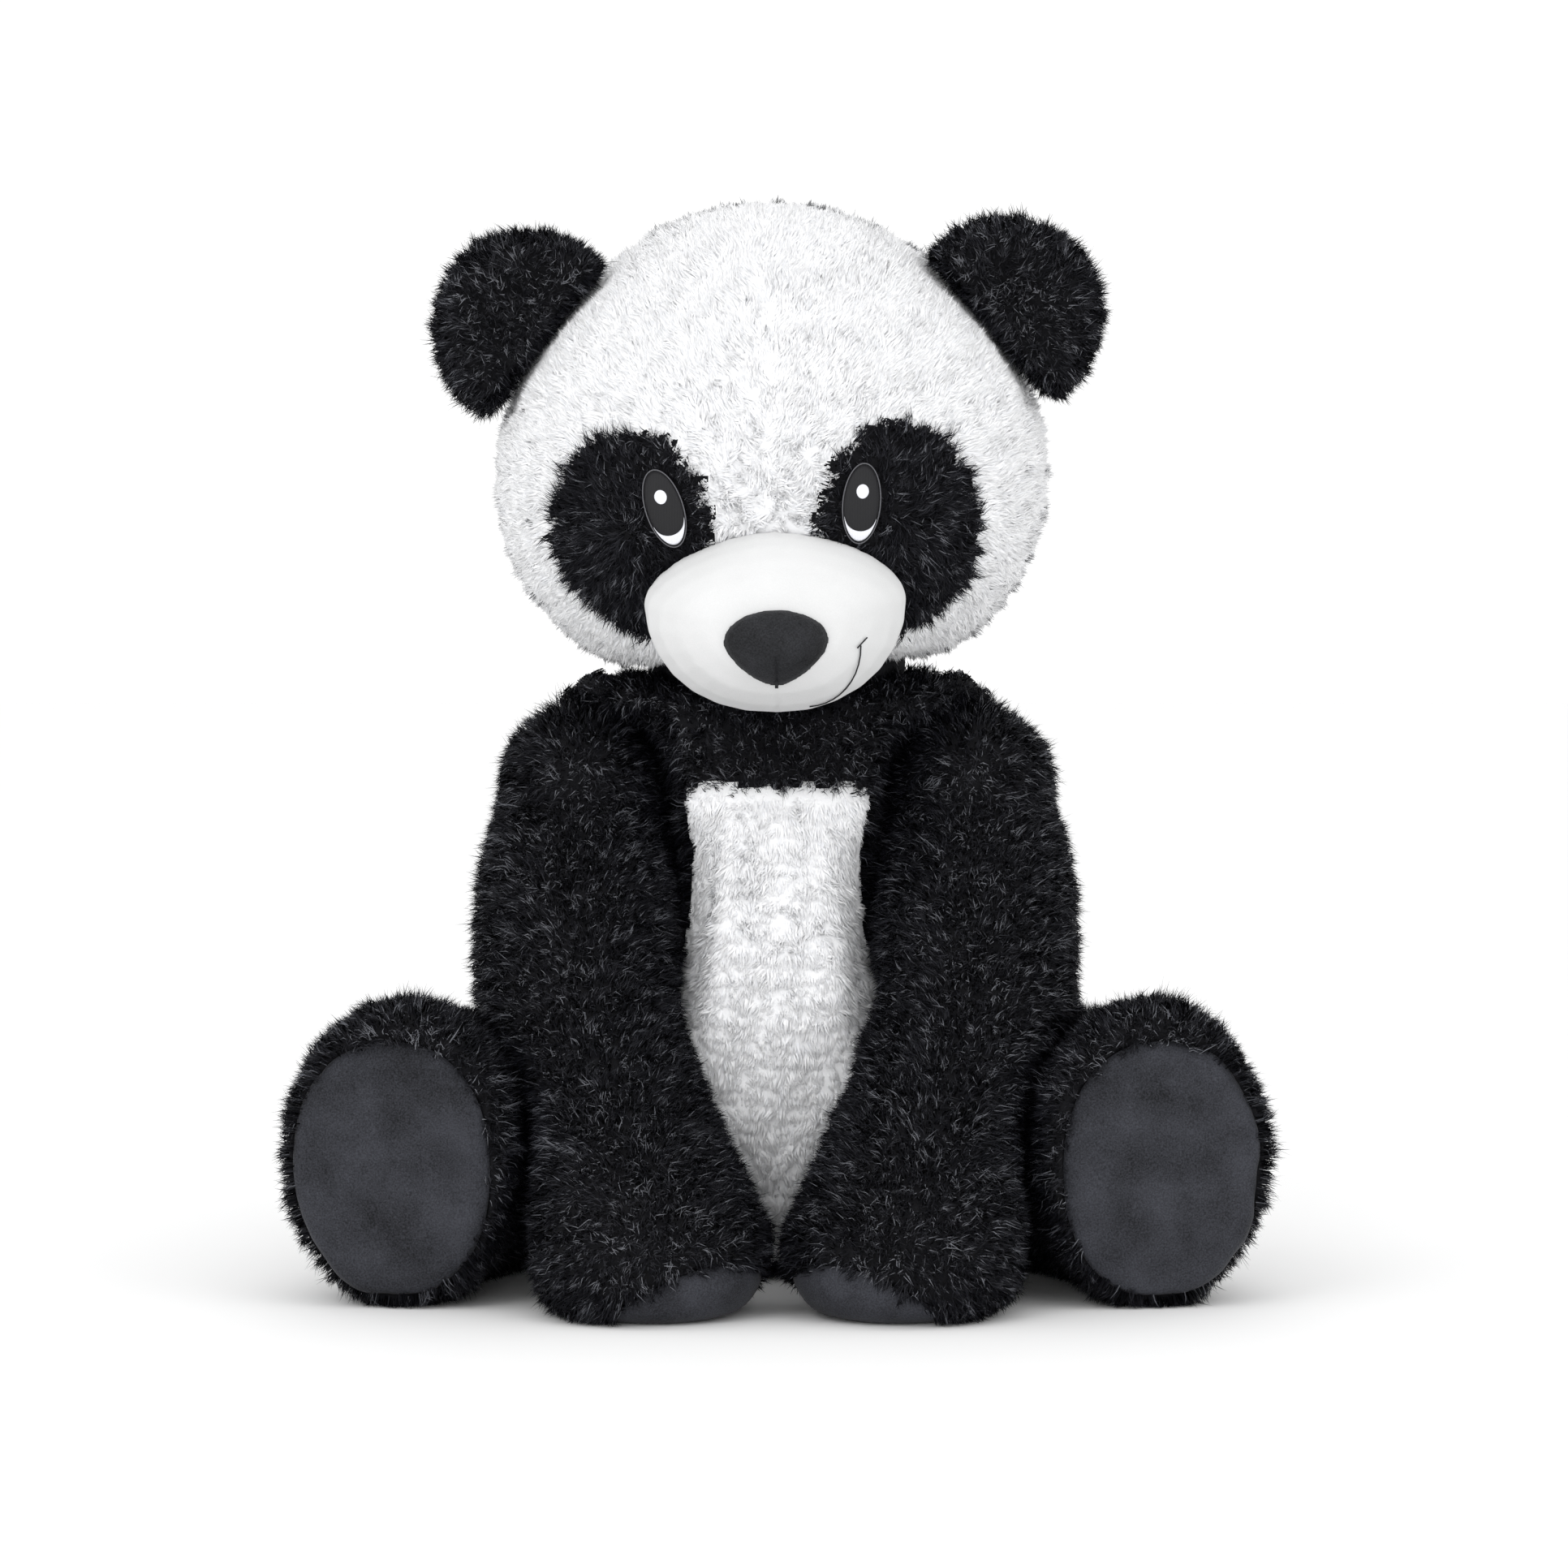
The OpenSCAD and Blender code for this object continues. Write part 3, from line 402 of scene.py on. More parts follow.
def bridge_to(*near, more=0.9, within=9 * MM):
    """Lengthens a tuft beside a neighbouring body, so the pile hides the crevice between the two."""
    tree = tree_of([n for body in near for n in BODIES[body]])[0]

    def share(co, no, length):
        gap = np.array([tree.find_nearest(Vector(p))[3] for p in co])
        return 1 + more * np.exp(-(gap / within) ** 2)
    return share


def distance_to(co, targets):
    tree = KDTree(len(targets))
    for k, p in enumerate(targets):
        tree.insert(Vector(p), k)
    tree.balance()
    return np.array([tree.find(Vector(p))[2] for p in co])


def fur_over(co, no, body, node, style, others, keep=slice(None), share=None, spacing=4.8, **options):
    """Fur on the points of a skin that belong to one CAD panel. others is a function of the neighbouring bodies."""
    settings = dict(STYLE[style])
    slot = settings.pop("slot")
    settings.update(comb=0.5 * DOWN, seed=101 + 7 * len(bpy.data.objects), spacing=spacing * MM)
    settings.update(options)
    co, no = co[keep], no[keep]
    if settings["comb"].ndim == 2:
        settings["comb"] = settings["comb"][keep]
    free = others(co, no, settings["length"])
    share = free if share is None else share[keep] * free
    ob = grow("fur_" + node, co, no, share=share, blades=min(12, STL_BLADES // len(co)), **settings)
    place(ob, slot, body, node)


def place(ob, slot, body, *nodes, fill=None):
    """Hides the CAD nodes that a piece stands for and attaches the piece to its body. slot and fill are not used."""
    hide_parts(*nodes)
    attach(ob, body)


def paint(skin, chosen, index):
    """Give the faces that touch the chosen points another of the skin's materials."""
    for face in skin.data.polygons:
        if chosen[list(face.vertices)].any():
            face.material_index = index


# ---------------------------------------------------------------- velour caps

def cap(name, skin, origin, axis, upright, beyond, relief, rings=30, turns=160, lift=0.8, thick=2.0):
    """A closed charcoal velour piece laid over a skin: rays from origin fan out round axis until beyond(point).
    relief(share, phi, point) moves the outer face in or out."""
    tree = BVHTree.FromObject(skin, bpy.context.evaluated_depsgraph_get())
    e1 = unit(np.cross(upright, axis))
    e2 = np.cross(axis, e1)
    outside = 0.3
    stride = math.radians(3)

    def way(theta, phi):
        return axis * math.cos(theta) + (e1 * math.cos(phi) + e2 * math.sin(phi)) * math.sin(theta)

    def hit(theta, phi):
        far = tree.ray_cast(Vector(origin + outside * way(theta, phi)), Vector(-way(theta, phi)))
        return np.array(far[0]), np.array(far[1])

    limits = []
    for t in range(turns):
        phi = 2 * math.pi * t / turns
        high = stride
        while high < math.radians(110) and not beyond(hit(high, phi)[0]):
            high += stride
        low = high - stride
        for _ in range(9):
            middle = (low + high) / 2
            if beyond(hit(middle, phi)[0]):
                high = middle
            else:
                low = middle
        limits.append(low)
    limits = np.median([np.roll(limits, k) for k in range(-4, 5)], axis=0)
    limits = np.mean([np.roll(limits, k) for k in (-1, 0, 1)], axis=0)
    outer, inner = [], []
    for t, low in enumerate(limits):
        phi = 2 * math.pi * t / turns
        for r in range(1, rings + 1):
            share = r / rings
            spot, normal = hit(low * share, phi)
            normal = normal if np.dot(normal, way(low * share, phi)) > 0 else -normal
            rise = lift * MM + relief(share, phi, spot)
            outer.append(spot + normal * rise)
            inner.append(spot + normal * (rise - thick * MM))
    spot, _ = hit(0.0, 0.0)
    size = turns * rings
    verts = outer + inner + [spot + axis * (lift * MM + relief(0.0, 0.0, spot)), spot + axis * (lift - thick) * MM]
    faces = []
    for t in range(turns):
        a, b = t * rings, (t + 1) % turns * rings
        faces += [(a + r, b + r, b + r + 1, a + r + 1)[::-1] for r in range(rings - 1)]
        faces += [(size + a + r, size + b + r, size + b + r + 1, size + a + r + 1) for r in range(rings - 1)]
        faces += [(2 * size, b, a)[::-1], (2 * size + 1, size + b, size + a)]
        faces += [(a + rings - 1, b + rings - 1, size + b + rings - 1, size + a + rings - 1)[::-1]]
    ob = make(name, verts, faces, CHARCOAL)
    co, _ = points(ob.data)
    co[:, 2] = np.maximum(co[:, 2], 0.3 * MM)
    move(ob, co)
    return ob


def puckers(count, depth, seed, width=0.15, reach=0.4):
    """Creases that run in from the rim, at uneven places and of uneven depth, over a soft unevenness."""
    rng = np.random.default_rng(seed)
    where = np.sort(rng.uniform(0, 2 * math.pi, count))
    strength = rng.uniform(0.25, 1.0, count)
    wide = rng.uniform(0.6, 1.6, count) * width
    slant = rng.normal(size=count) * 0.5

    def relief(share, phi, spot):
        into = max(0.0, (share - (1 - reach)) / reach)
        turn = (phi - where + slant * (1 - share) + math.pi) % (2 * math.pi) - math.pi
        crease = (strength * np.exp(-(turn / wide) ** 2)).sum()
        swell = waves(spot[None, :], 0.07, seed + 1)[0, 0]
        rolled_in = max(0, share - 0.92) / 0.08
        return (-depth * crease * into ** 1.5 + 0.5 * swell - 1.5 * rolled_in) * MM
    return relief


# ---------------------------------------------------------------- head

ear_corners = [corner for side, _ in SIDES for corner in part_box(f"ear_{side}_stuffing")]
crown = (ear_corners[0] + ear_corners[1] + ear_corners[2] + ear_corners[3]) / 4


def middle_x(z):
    """The x of the head's leaning middle line at a height."""
    return (z - NECK[2]) * (crown.x - NECK[0]) / (crown.z - NECK[2])


def terms_at(d):
    """The terms of a second-degree surface over x and z."""
    x, z = d[..., 0], d[..., 1]
    return np.stack([np.ones_like(x), x, z, x ** 2, x * z, z ** 2], -1)


def front_of(node):
    """An embroidered disc on the face: its middle, its long and short half axes, and a smooth fit of y."""
    v, _ = cad_triangles(node)
    flat = v[:, [0, 2]]
    middle = (flat.max(0) + flat.min(0)) / 2
    _, _, axes = np.linalg.svd(flat - flat.mean(0), full_matrices=False)
    half = [np.abs((flat - middle) @ a).max() for a in axes]
    fit = np.linalg.lstsq(terms_at(flat - middle), v[:, 1], rcond=None)[0]
    return middle, axes, half, fit


def gauge(co, eye, margin):
    """Below 1 inside an eye's oval with a margin round it."""
    middle, axes, half, _ = eye
    d = co[:, [0, 2]] - middle
    return np.hypot(d @ axes[0] / (half[0] + margin), d @ axes[1] / (half[1] + margin))


EYES = {side: front_of("eye_" + side) for side, _ in SIDES}
PATCH_HALF = np.array([56, 73]) * MM
HEAD_PANELS = ["head_front_left", "head_front_right", "head_back_left", "head_back_right"]

head_skin = skin_of("head_skin", HEAD_PANELS + ["head_stuffing"], [WHITE_BACKING, BLACK_BACKING], rounds=18)
co, no = points(head_skin.data)
_, muzzle_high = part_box("muzzle_cover")
front = co[:, 1] < muzzle_high.y + 20 * MM

# No pile grows behind the muzzle, or behind the eyes
muzzle_tree, _ = tree_of(["muzzle_cover"])
hidden = np.array([muzzle_tree.ray_cast(Vector((x, -1, z)), Vector((0, 1, 0)))[0] is not None for x, _, z in co])
for eye in EYES.values():
    hidden |= gauge(co, eye, 0.5 * MM) < 1
clear = ~(front & hidden)


def in_patch(side, outward):
    """True on the skin inside an eye patch's oval, and close round the eye."""
    low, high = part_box("eye_patch_" + side)
    middle = np.array([(high.x if outward > 0 else low.x) - outward * PATCH_HALF[0], high.z - PATCH_HALF[1]])
    ragged = 0.06 * waves(co, 0.016, 17)[:, 0]
    oval = (((co[:, [0, 2]] - middle) / PATCH_HALF) ** 2).sum(1) + ragged < 1
    return (oval | (gauge(co, EYES[side], 7 * MM) < 1)) & front


def distance_to_box(node):
    low, high = (np.array(c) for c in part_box(node))
    return np.linalg.norm(co - np.clip(co, low, high), axis=1)


patch_of = {side: in_patch(side, outward) for side, outward in SIDES}
black_face = patch_of["left"] | patch_of["right"]
paint(head_skin, black_face, 1)
owner = nearest_node(co, no, HEAD_PANELS)

# The white pile is shorter by the ears, the patches and the middle seam, and sweeps back from the face
near_ear = np.minimum(distance_to_box("ear_left_front"), distance_to_box("ear_right_front"))
ear_share = 0.3 + 0.7 * step(near_ear, 2 * MM, 16 * MM)
patch_share = 0.45 + 0.55 * step(distance_to(co, co[black_face]), 2 * MM, 12 * MM)
aside = co[:, 0] - middle_x(co[:, 2])
seam_share = 1 - 0.25 * np.exp(-(np.abs(aside) / (3 * MM)) ** 2) * (co[:, 2] > muzzle_high.z)
rear = 0.5 + 0.5 * np.tanh(no[:, 1] / 0.25)
brow = np.tanh((co[:, 2] - muzzle_high.z) / (40 * MM))
head_comb = np.stack([0.25 * np.sign(aside), 0.8 - 1.05 * rear, 0.7 * rear + 0.45 * (1 - rear) * brow], 1)
head_neighbours = room_to("torso")
for k, node in enumerate(HEAD_PANELS):
    fur_over(co, no, "head", node, "white", head_neighbours, keep=(owner == k) & clear & ~black_face,
             share=ear_share * seam_share * patch_share, comb=head_comb, spacing=5.1)
for side, _ in SIDES:
    node = "eye_patch_" + side
    around = 0.55 + 0.45 * step(gauge(co, EYES[side], 0), 1.0, 1.5)
    low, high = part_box(node)
    out = unit((co - np.array(low + high) / 2) * [1, 0, 1])
    # The patches' black pile takes fewer painted glints, on about 7% of its blades
    fur_over(co, no, "head", node, "black", head_neighbours, keep=patch_of[side] & clear, share=around,
             comb=0.9 * out, lean=0.75, length=11 * MM, weights=[0.60, 0.33, 0.07])
place(head_skin, "white_fur", "head", "head_stuffing", fill=0.9)


def on_face(eye, along, lift):
    """A point that lies along an eye's two axes, and lift in front of the face."""
    middle, axes, _, fit = eye
    d = axes[0] * along[0] + axes[1] * along[1]
    x, z = middle + d
    return x, fit @ terms_at(d) - lift, z


def oval_disc(name, eye, centre, half, material, rise, lift, turns=64, rings=8):
    """A satin-stitched oval, closed, a little crowned. centre is along the eye's two axes."""
    back = -0.8 * MM
    angles = [2 * math.pi * t / turns for t in range(turns)]
    verts = []
    for is_front in (1, 0):
        for share in [r / rings for r in range(1, rings + 1)]:
            crowned = lift * MM + (rise * MM * (1 - share ** 4) if is_front else back)
            verts += [on_face(eye, (centre[0] + half[0] * share * math.cos(a),
                                    centre[1] + half[1] * share * math.sin(a)), crowned) for a in angles]
    verts += [on_face(eye, centre, (lift + rise) * MM), on_face(eye, centre, lift * MM + back)]
    size = rings * turns
    last = size - turns
    faces = []
    for t in range(turns):
        u = (t + 1) % turns
        for r in range(rings - 1):
            a, b = r * turns, (r + 1) * turns
            faces += [(a + t, a + u, b + u, b + t), (size + a + t, size + b + t, size + b + u, size + a + u)]
        faces += [(2 * size, u, t), (2 * size + 1, size + t, size + u),
                  (last + t, last + u, size + last + u, size + last + t)]
    return outwards(make(name, verts, faces, material))


def band(name, eye, inner, outer, material, lift, start=0.0, stop=2 * math.pi, turns=96):
    """A flat stitched band between two outlines inner(a) and outer(a), each a point along the eye's axes."""
    closed = stop - start > TURN
    count = turns if closed else turns + 1
    verts, faces = [], []
    for t in range(count):
        a = start + (stop - start) * t / turns
        for share, deep in ((0, 0.5), (0.15, 0), (0.85, 0), (1, 0.5)):
            q = (1 - share) * np.array(inner(a)) + share * np.array(outer(a))
            verts.append(on_face(eye, q, (lift - deep) * MM))
    for t in range(turns):
        a, b = 4 * t, 4 * ((t + 1) % count)
        faces += [(a + k, b + k, b + (k + 1) % 4, a + (k + 1) % 4) for k in range(4)]
    if not closed:
        faces += [(0, 1, 2, 3), tuple(4 * turns + k for k in (3, 2, 1, 0))]
    return outwards(make(name, verts, faces, material))


for side, eye in EYES.items():
    _, axes, (tall, wide), _ = eye
    if axes[0][1] < 0:
        axes[0] *= -1
    if axes[1][0] < 0:
        axes[1] *= -1
    rim = 0.9 * MM
    disc = oval_disc("eye_disc_" + side, eye, (0, 0), (tall, wide), DARK_THREAD, 1.2, 1.0)
    place(disc, "dark_thread", "head", "eye_" + side)
    outline = band("eye_outline_" + side, eye,
                   lambda a: (tall * math.cos(a), wide * math.sin(a)),
                   lambda a: ((tall + rim) * math.cos(a), (wide + rim) * math.sin(a)), SILVER_THREAD, 1.9)
    place(outline, "silver_thread", "head", "eye_rim_" + side)
    dot = oval_disc("eye_dot_" + side, eye, (0.3 * tall, 0), (5.2 * MM, 4.4 * MM), WHITE_THREAD, 0.4, 2.1, rings=4)
    crescent = band("eye_crescent_" + side, eye,
                    lambda a: (-(0.96 - 0.27 * math.cos(a) ** 1.3) * tall * math.cos(a), 0.96 * wide * math.sin(a)),
                    lambda a: (-0.96 * tall * math.cos(a), 0.96 * wide * math.sin(a)),
                    WHITE_THREAD, 2.2, -1.15, 1.15, 40)
    for piece in (dot, crescent):
        place(piece, "white_thread", "head", "eye_shine_" + side)

# ---------------------------------------------------------------- muzzle, nose and mouth

nose_low, nose_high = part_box("nose_cover")


def muzzle_seam(co, no):
    """A fine seam down the middle, under the nose, and a little unevenness all over."""
    d = co[:, 0] - middle_x(co[:, 2])
    below = step(-co[:, 2], -nose_low.z - 4 * MM, -nose_low.z + 6 * MM) * (co[:, 1] < muzzle_high.y - 40 * MM)
    return 0.9 * MM * np.exp(-(d / (1.4 * MM)) ** 2) * below + 0.5 * MM * waves(co, 0.05, 31)[:, 0]


def nose_dart(co, no):
    """A sharp fold up the lower middle of the nose, and a little unevenness in front of its rim."""
    d = co[:, 0] - middle_x(co[:, 2])
    below = step((nose_low.z + nose_high.z) / 2 - 3 * MM - co[:, 2], 0, 8 * MM)
    rim = co[:, 1] > nose_high.y - 10 * MM
    return 2.2 * MM * np.exp(-(d / (1.0 * MM)) ** 2) * below + 0.25 * MM * waves(co, 0.03, 41)[:, 0] * ~rim


muzzle = skin_of("muzzle_skin", ["muzzle_cover", "muzzle_stuffing"], CREAM, 2.0, 12)
co, _ = points(muzzle.data)  # the stuffed cover rounds off behind, where it hangs below the jaw
reach = np.array([55, 62]) * MM
jaw = np.array([co[:, 1].max() - reach[0], co[:, 2].min() + reach[1]])
corner = np.maximum((co[:, 1:] - jaw) / reach * [1, -1], 0)
pull = np.where(corner.min(1) > 0, 1 / np.maximum(np.linalg.norm(corner, axis=1), 1), 1)
co[:, 1:] = jaw + (co[:, 1:] - jaw) * pull[:, None]
move(muzzle, co)
press(muzzle, muzzle_seam)
place(muzzle, "cream_velour", "head", "muzzle_cover", "muzzle_stuffing", fill=0.9)

nose = skin_of("nose_skin", ["nose_cover", "nose_stuffing"], NOSE_VELOUR, 1.0, 14)
press(nose, nose_dart)
place(nose, "charcoal_velour", "head", "nose_cover", "nose_stuffing", fill=1.0)
NODES["mouth_stitch"].data.materials.clear()
NODES["mouth_stitch"].data.materials.append(DARK_THREAD)

# ---------------------------------------------------------------- torso

TORSO_PANELS = ["chest_yoke", "side_left", "side_right", "back_left", "back_right", "seat_panel", "belly_panel"]

torso_skin = skin_of("torso_skin", TORSO_PANELS + ["body_stuffing"], [BLACK_BACKING, WHITE_BACKING], rounds=22)
press(torso_skin, lambda co, no: 9 * MM * step(co[:, 2], NECK[2] - 50 * MM, NECK[2] - 20 * MM)
      * step(np.abs(co[:, 0]), 100 * MM, 135 * MM))  # the shoulders slope down to the arms
co, no = points(torso_skin.data)
owner = nearest_node(co + 2.2 * MM * waves(co, 0.018, 19), no, TORSO_PANELS)
belly = owner == TORSO_PANELS.index("belly_panel")
paint(torso_skin, belly, 1)

# The black pile is longer along the belly panel and hangs over the white, which is shorter there
edge = distance_to(co, co[~belly]) + distance_to(co, co[belly])
fringe = np.where(belly, 0.5 + 0.5 * step(edge, 4 * MM, 14 * MM), 1.35 - 0.35 * step(edge, 4 * MM, 16 * MM))
ribs = 0.85 + 0.2 * np.sin(co[:, 2] / (2.3 * MM) + 1.5 * waves(co, 0.06, 61)[:, 0])
torso_neighbours = bridge_to("arm_left", "arm_right", "head")
for k, node in enumerate(TORSO_PANELS):
    white = node == "belly_panel"
    fur_over(co, no, "torso", node, "white" if white else "black", torso_neighbours, keep=owner == k,
             share=fringe * (ribs if white else 1), comb=(0.9 if white else 0.6) * DOWN,
             spacing=5.75 if node == "chest_yoke" else 4.8)
place(torso_skin, "black_fur", "torso", "body_stuffing", fill=0.85)

# A short gathered sleeve, an oval 184 by 114 mm, joins the torso to the head
sleeve_turns, sleeve_rings = 96, 12
heights = np.linspace(-16, 12, sleeve_rings) * MM
widths = 92 - 6 * np.abs(np.linspace(-1, 1, sleeve_rings)) ** 4
verts = [((w + 1.2 * math.sin(9 * a)) * MM * math.cos(a) + NECK[0], (w * 0.62) * MM * math.sin(a) + NECK[1] + 4 * MM,
          NECK[2] + z) for z, w in zip(heights, widths) for a in np.linspace(0, 2 * math.pi, sleeve_turns, False)]
faces = [(k + t, k + (t + 1) % sleeve_turns, k + sleeve_turns + (t + 1) % sleeve_turns, k + sleeve_turns + t)
         for k in range(0, (sleeve_rings - 1) * sleeve_turns, sleeve_turns) for t in range(sleeve_turns)]
faces += [range(sleeve_turns), range((sleeve_rings - 1) * sleeve_turns, sleeve_rings * sleeve_turns)]
sleeve = outwards(make("neck_sleeve", verts, faces, BLACK_BACKING))
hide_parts("neck_stuffing")
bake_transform(sleeve)

# ---------------------------------------------------------------- arms and paw pads

PAD_LOW, PAD_HIGH, PAD_TURN = 6 * MM, 40 * MM, math.radians(-48)

for side, outward in SIDES:
    arm, pad = "arm_" + side, "paw_pad_" + side
    panels = [arm + "_outer", arm + "_inner"]
    low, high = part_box(pad)
    paw = np.array([(low.x + high.x) / 2, (low.y + high.y) / 2, 0])

    def above_pad(p, paw=paw, outward=outward):
        """How far a point is above the pad's edge, which is high towards the inner front of the paw."""
        u = np.arctan2(outward * (p[..., 0] - paw[0]), paw[1] - p[..., 1])
        edge = PAD_LOW + (PAD_HIGH - PAD_LOW) * np.maximum(0, np.cos(u - PAD_TURN)) ** 1.2
        return p[..., 2] - edge

    arm_skin = skin_of(arm + "_skin", panels + [pad, arm + "_stuffing"], BLACK_BACKING, rounds=12)
    press(arm_skin, lambda co, no: -7 * MM * step(co[:, 2], NECK[2] - 110 * MM, NECK[2] - 50 * MM)
          * step(outward * no[:, 0] + no[:, 2], -0.2, 0.5))  # the shoulder swells up to meet the torso
    co, no = points(arm_skin.data)
    owner = nearest_node(co, no, panels)
    arm_neighbours = bridge_to("torso")
    for k, node in enumerate(panels):
        fur_over(co, no, arm, node, "black", arm_neighbours, keep=(owner == k) & (above_pad(co) > -2 * MM),
                 comb=0.55 * DOWN + 0.2 * unit((co - paw) * [1, 1, 0]))
    place(arm_skin, "black_fur", arm, arm + "_stuffing", fill=0.85)
    velour = cap(pad + "_velour", arm_skin, paw + [0, 0, 48 * MM], DOWN, np.array([0, 1.0, 0]),
                 lambda p: above_pad(p) > 0, puckers(16, 1.6, 71 + outward))
    under_pad = above_pad(co) < 1 * MM
    press(arm_skin, lambda co, no: 7 * MM * under_pad)
    place(velour, "charcoal_velour", arm, pad, fill=0.8)

# ---------------------------------------------------------------- legs and soles

for side, outward in SIDES:
    leg, sole = "leg_" + side, "sole_" + side
    panels = [leg + "_outer", leg + "_inner"]
    v, _ = cad_triangles(sole)
    middle = (v.max(0) + v.min(0)) / 2
    _, _, axes = np.linalg.svd(v - v.mean(0), full_matrices=False)
    facing = axes[2] * -np.sign(axes[2][1])
    sideways = unit(np.cross(DOWN, facing))
    upwards = np.cross(facing, sideways)
    upwards = upwards * np.sign(upwards[2])
    sideways = sideways * np.sign(sideways[0]) * outward
    half_w = np.abs((v - middle) @ sideways).max() * 0.96
    half_h = np.abs((v - middle) @ upwards).max() * 0.99
    centre = middle + sideways * 5 * MM

    def sole_gauge(p, centre=centre, sideways=sideways, upwards=upwards, half_w=half_w, half_h=half_h):
        """Below 1 inside the sole's outline, a slightly squared oval."""
        d, power = p - centre, 2.25
        return ((np.abs(d @ sideways) / half_w) ** power + (np.abs(d @ upwards) / half_h) ** power) ** (1 / power)

    def ahead(p, middle=middle, facing=facing):
        return (p - middle) @ facing

    leg_skin = skin_of(leg + "_skin", panels + [sole, leg + "_stuffing"], BLACK_BACKING, rounds=10)
    co, no = points(leg_skin.data)
    owner = nearest_node(co, no, panels)
    on_sole = (sole_gauge(co) < 0.985) & (ahead(co) > -19 * MM)
    leg_neighbours = room_to("arm_" + side)
    for k, node in enumerate(panels):
        fur_over(co, no, leg, node, "black", leg_neighbours, keep=(owner == k) & ~on_sole,
                 comb=0.35 * DOWN - 0.25 * facing, length=10.5 * MM, spacing=5.2)
    place(leg_skin, "black_fur", leg, leg + "_stuffing", fill=0.9)
    velour = cap(sole + "_velour", leg_skin, centre - facing * 90 * MM, facing, np.array([0, 0, 1.0]),
                 lambda p: sole_gauge(p) > 1 or ahead(p) < -20 * MM, puckers(22, 1.8, 81 + outward))
    press(leg_skin, lambda co, no: 9 * MM * (sole_gauge(co) < 1.01) * (ahead(co) > -21 * MM))
    place(velour, "charcoal_velour", leg, sole, fill=0.9)

# ---------------------------------------------------------------- ears and tail

HEAD_MIDDLE = np.array([middle_x(0.565), NECK[1], 0.565])

for side, _ in SIDES:
    ear = "ear_" + side
    panels = [ear + "_front", ear + "_back"]
    ear_skin = skin_of(ear + "_skin", panels + [ear + "_stuffing"], BLACK_BACKING, 4, 8)
    co, no = points(ear_skin.data)
    owner = nearest_node(co, no, panels)
    inward = unit((HEAD_MIDDLE - co) * [1, 0, 1])
    low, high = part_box(ear + "_stuffing")
    rim = unit((co - np.array(low + high) / 2) * [1, 0, 1])
    facing_head = np.clip((rim * inward).sum(1), 0, 1)[:, None]
    ear_neighbours = room_to("head")
    for k, node in enumerate(panels):
        fur_over(co, no, ear, node, "black", ear_neighbours, keep=owner == k, spacing=4,
                 comb=0.5 * rim + 0.9 * facing_head * inward, length=10.5 * MM)
    place(ear_skin, "black_fur", ear, ear + "_stuffing", fill=0.8)

tail_skin = skin_of("tail_skin", ["tail_cover", "tail_stuffing"], BLACK_BACKING, 4, 8)
co, no = points(tail_skin.data)
fur_over(co, no, "tail", "tail_cover", "black", room_to("torso"), spacing=4, length=11 * MM)
place(tail_skin, "black_fur", "tail", "tail_stuffing", fill=0.9)

# ---------------------------------------------------------------- care label

SEWN_IN = 14 * MM
TAPE_THICK = 0.5 * MM

v, _ = cad_triangles("care_label")
lower = v[v[:, 2] < v[:, 2].mean()]
root = lower[lower[:, 0].argmin()]
tip = lower[lower[:, 0].argmax()]
along = (tip - root) * [1, 1, 0]
root = root - SEWN_IN * unit(along)
along = along + SEWN_IN * unit(along)
tall = v[:, 2].max() - v[:, 2].min()
across = unit(np.cross(along, DOWN))
columns, rows = 17, 9
verts = []
for layer in (-0.5, 0.5):
    for i in range(columns):
        for j in range(rows):
            s, h = i / (columns - 1), j / (rows - 1)
            bend = 3 * MM * math.sin(2.6 * s) + 1.2 * MM * s * math.sin(5 * h + 1)
            verts.append(root + along * s + np.array([0, 0, tall * h]) + across * (bend + layer * TAPE_THICK))
side_size = columns * rows
grid = [(i + j, i + rows + j, i + rows + j + 1, i + j + 1)
        for i in range(0, side_size - rows, rows) for j in range(rows - 1)]
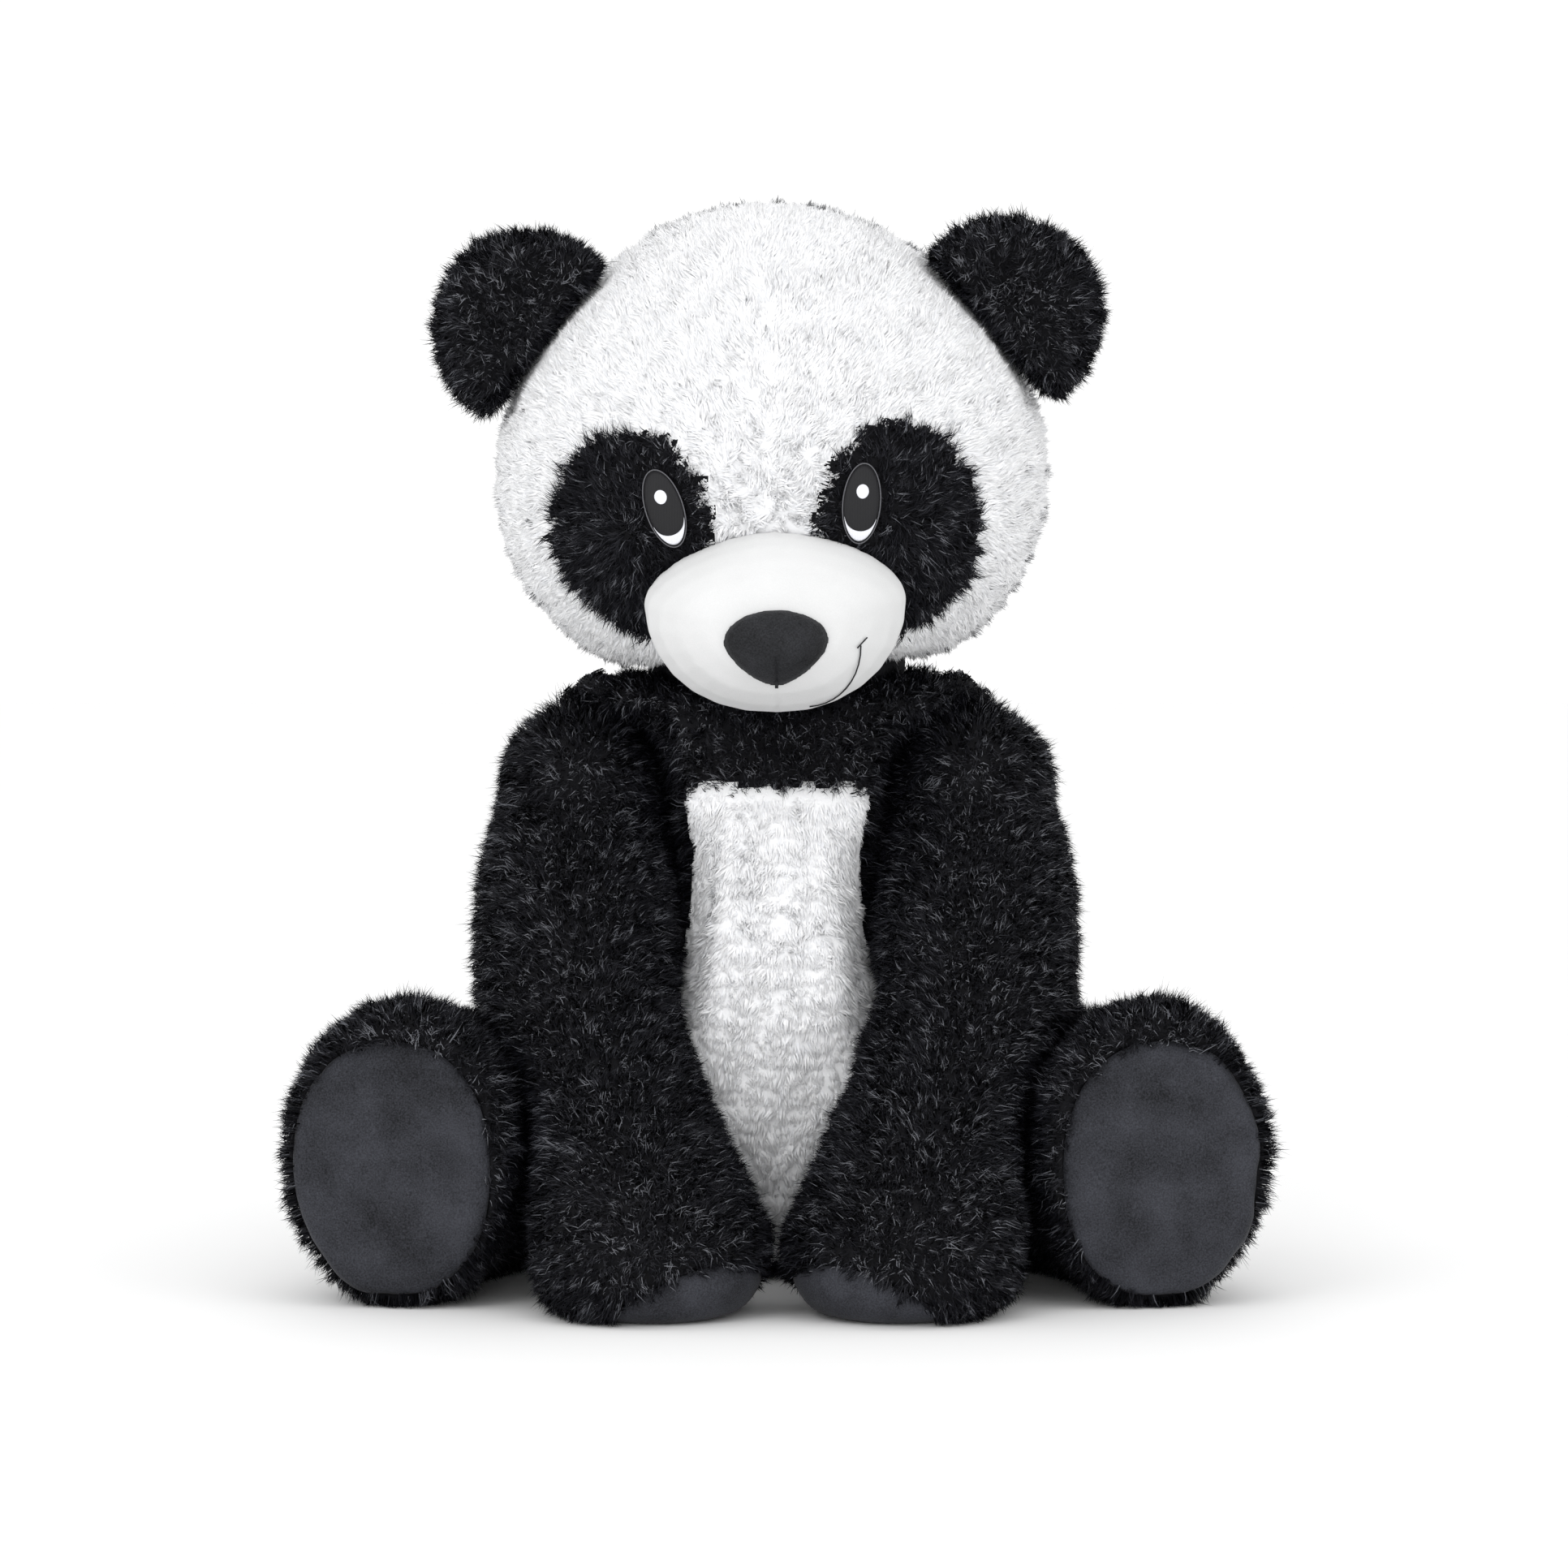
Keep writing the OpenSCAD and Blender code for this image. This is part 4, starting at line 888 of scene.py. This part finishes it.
edge = [*range(0, side_size, rows), *range(side_size - rows + 1, side_size),
        *range(side_size - rows - 1, 0, -rows), *range(rows - 2, 0, -1)]
faces = grid + [[side_size + k for k in f[::-1]] for f in grid]
faces += [(a, b, side_size + b, side_size + a) for a, b in zip(edge, edge[1:] + edge[:1])]
label = outwards(make("label_tape_piece", verts, faces, TAPE))
place(label, "label_tape", "torso", "care_label")

# ---------------------------------------------------------------- stage, light and camera

paper, _, paper_look = new_material("paper")
paper_look.inputs["Base Color"].default_value = (0.92, 0.92, 0.92, 1)
surface(paper_look, 0.9, 0.1)
floor = make("floor", [(-9, -9, 0), (9, -9, 0), (9, 9, 0), (-9, 9, 0)], [(0, 1, 2, 3)], paper, False)

bpy.context.scene.view_settings.view_transform = "Standard"
world = bpy.data.worlds.new("studio")
world.use_nodes = True
world.node_tree.nodes["Background"].inputs["Color"].default_value = (1, 1, 1, 1)
world.node_tree.nodes["Background"].inputs["Strength"].default_value = 1.09
bpy.context.scene.world = world


def aim(ob, spot, target):
    """Puts a light or the camera at a spot, facing a target."""
    ob.location = spot
    ob.rotation_mode = "QUATERNION"
    ob.rotation_quaternion = (Vector(target) - ob.location).to_track_quat("-Z", "Y")
    bpy.context.scene.collection.objects.link(ob)


def softbox(name, spot, target, size, power):
    light = bpy.data.lights.new(name, "AREA")
    light.shape = "DISK"
    light.size = size
    light.energy = power
    aim(bpy.data.objects.new(name, light), spot, target)


softbox("key", (-1.4, -2.4, 2.2), (0, 0, 0.4), 1.6, 12)
softbox("fill", (2.0, -2.0, 1.4), (0, 0, 0.4), 2.0, 5)
softbox("low", (-0.3, -2.6, 0.35), (0, 0, 0.4), 1.4, 10)
softbox("top", (0.2, -0.4, 2.6), (0, 0, 0.5), 1.6, 3)

lens = bpy.data.cameras.new("camera")
lens.lens = 121.5
lens.sensor_width = 36
lens.shift_x = 0.0047
lens.shift_y = -0.0047
camera = bpy.data.objects.new("camera", lens)
aim(camera, (0, NECK[1] + 0.005 - 3.8, 0.576), (0, NECK[1] + 0.005, 0.351))
bpy.context.scene.camera = camera
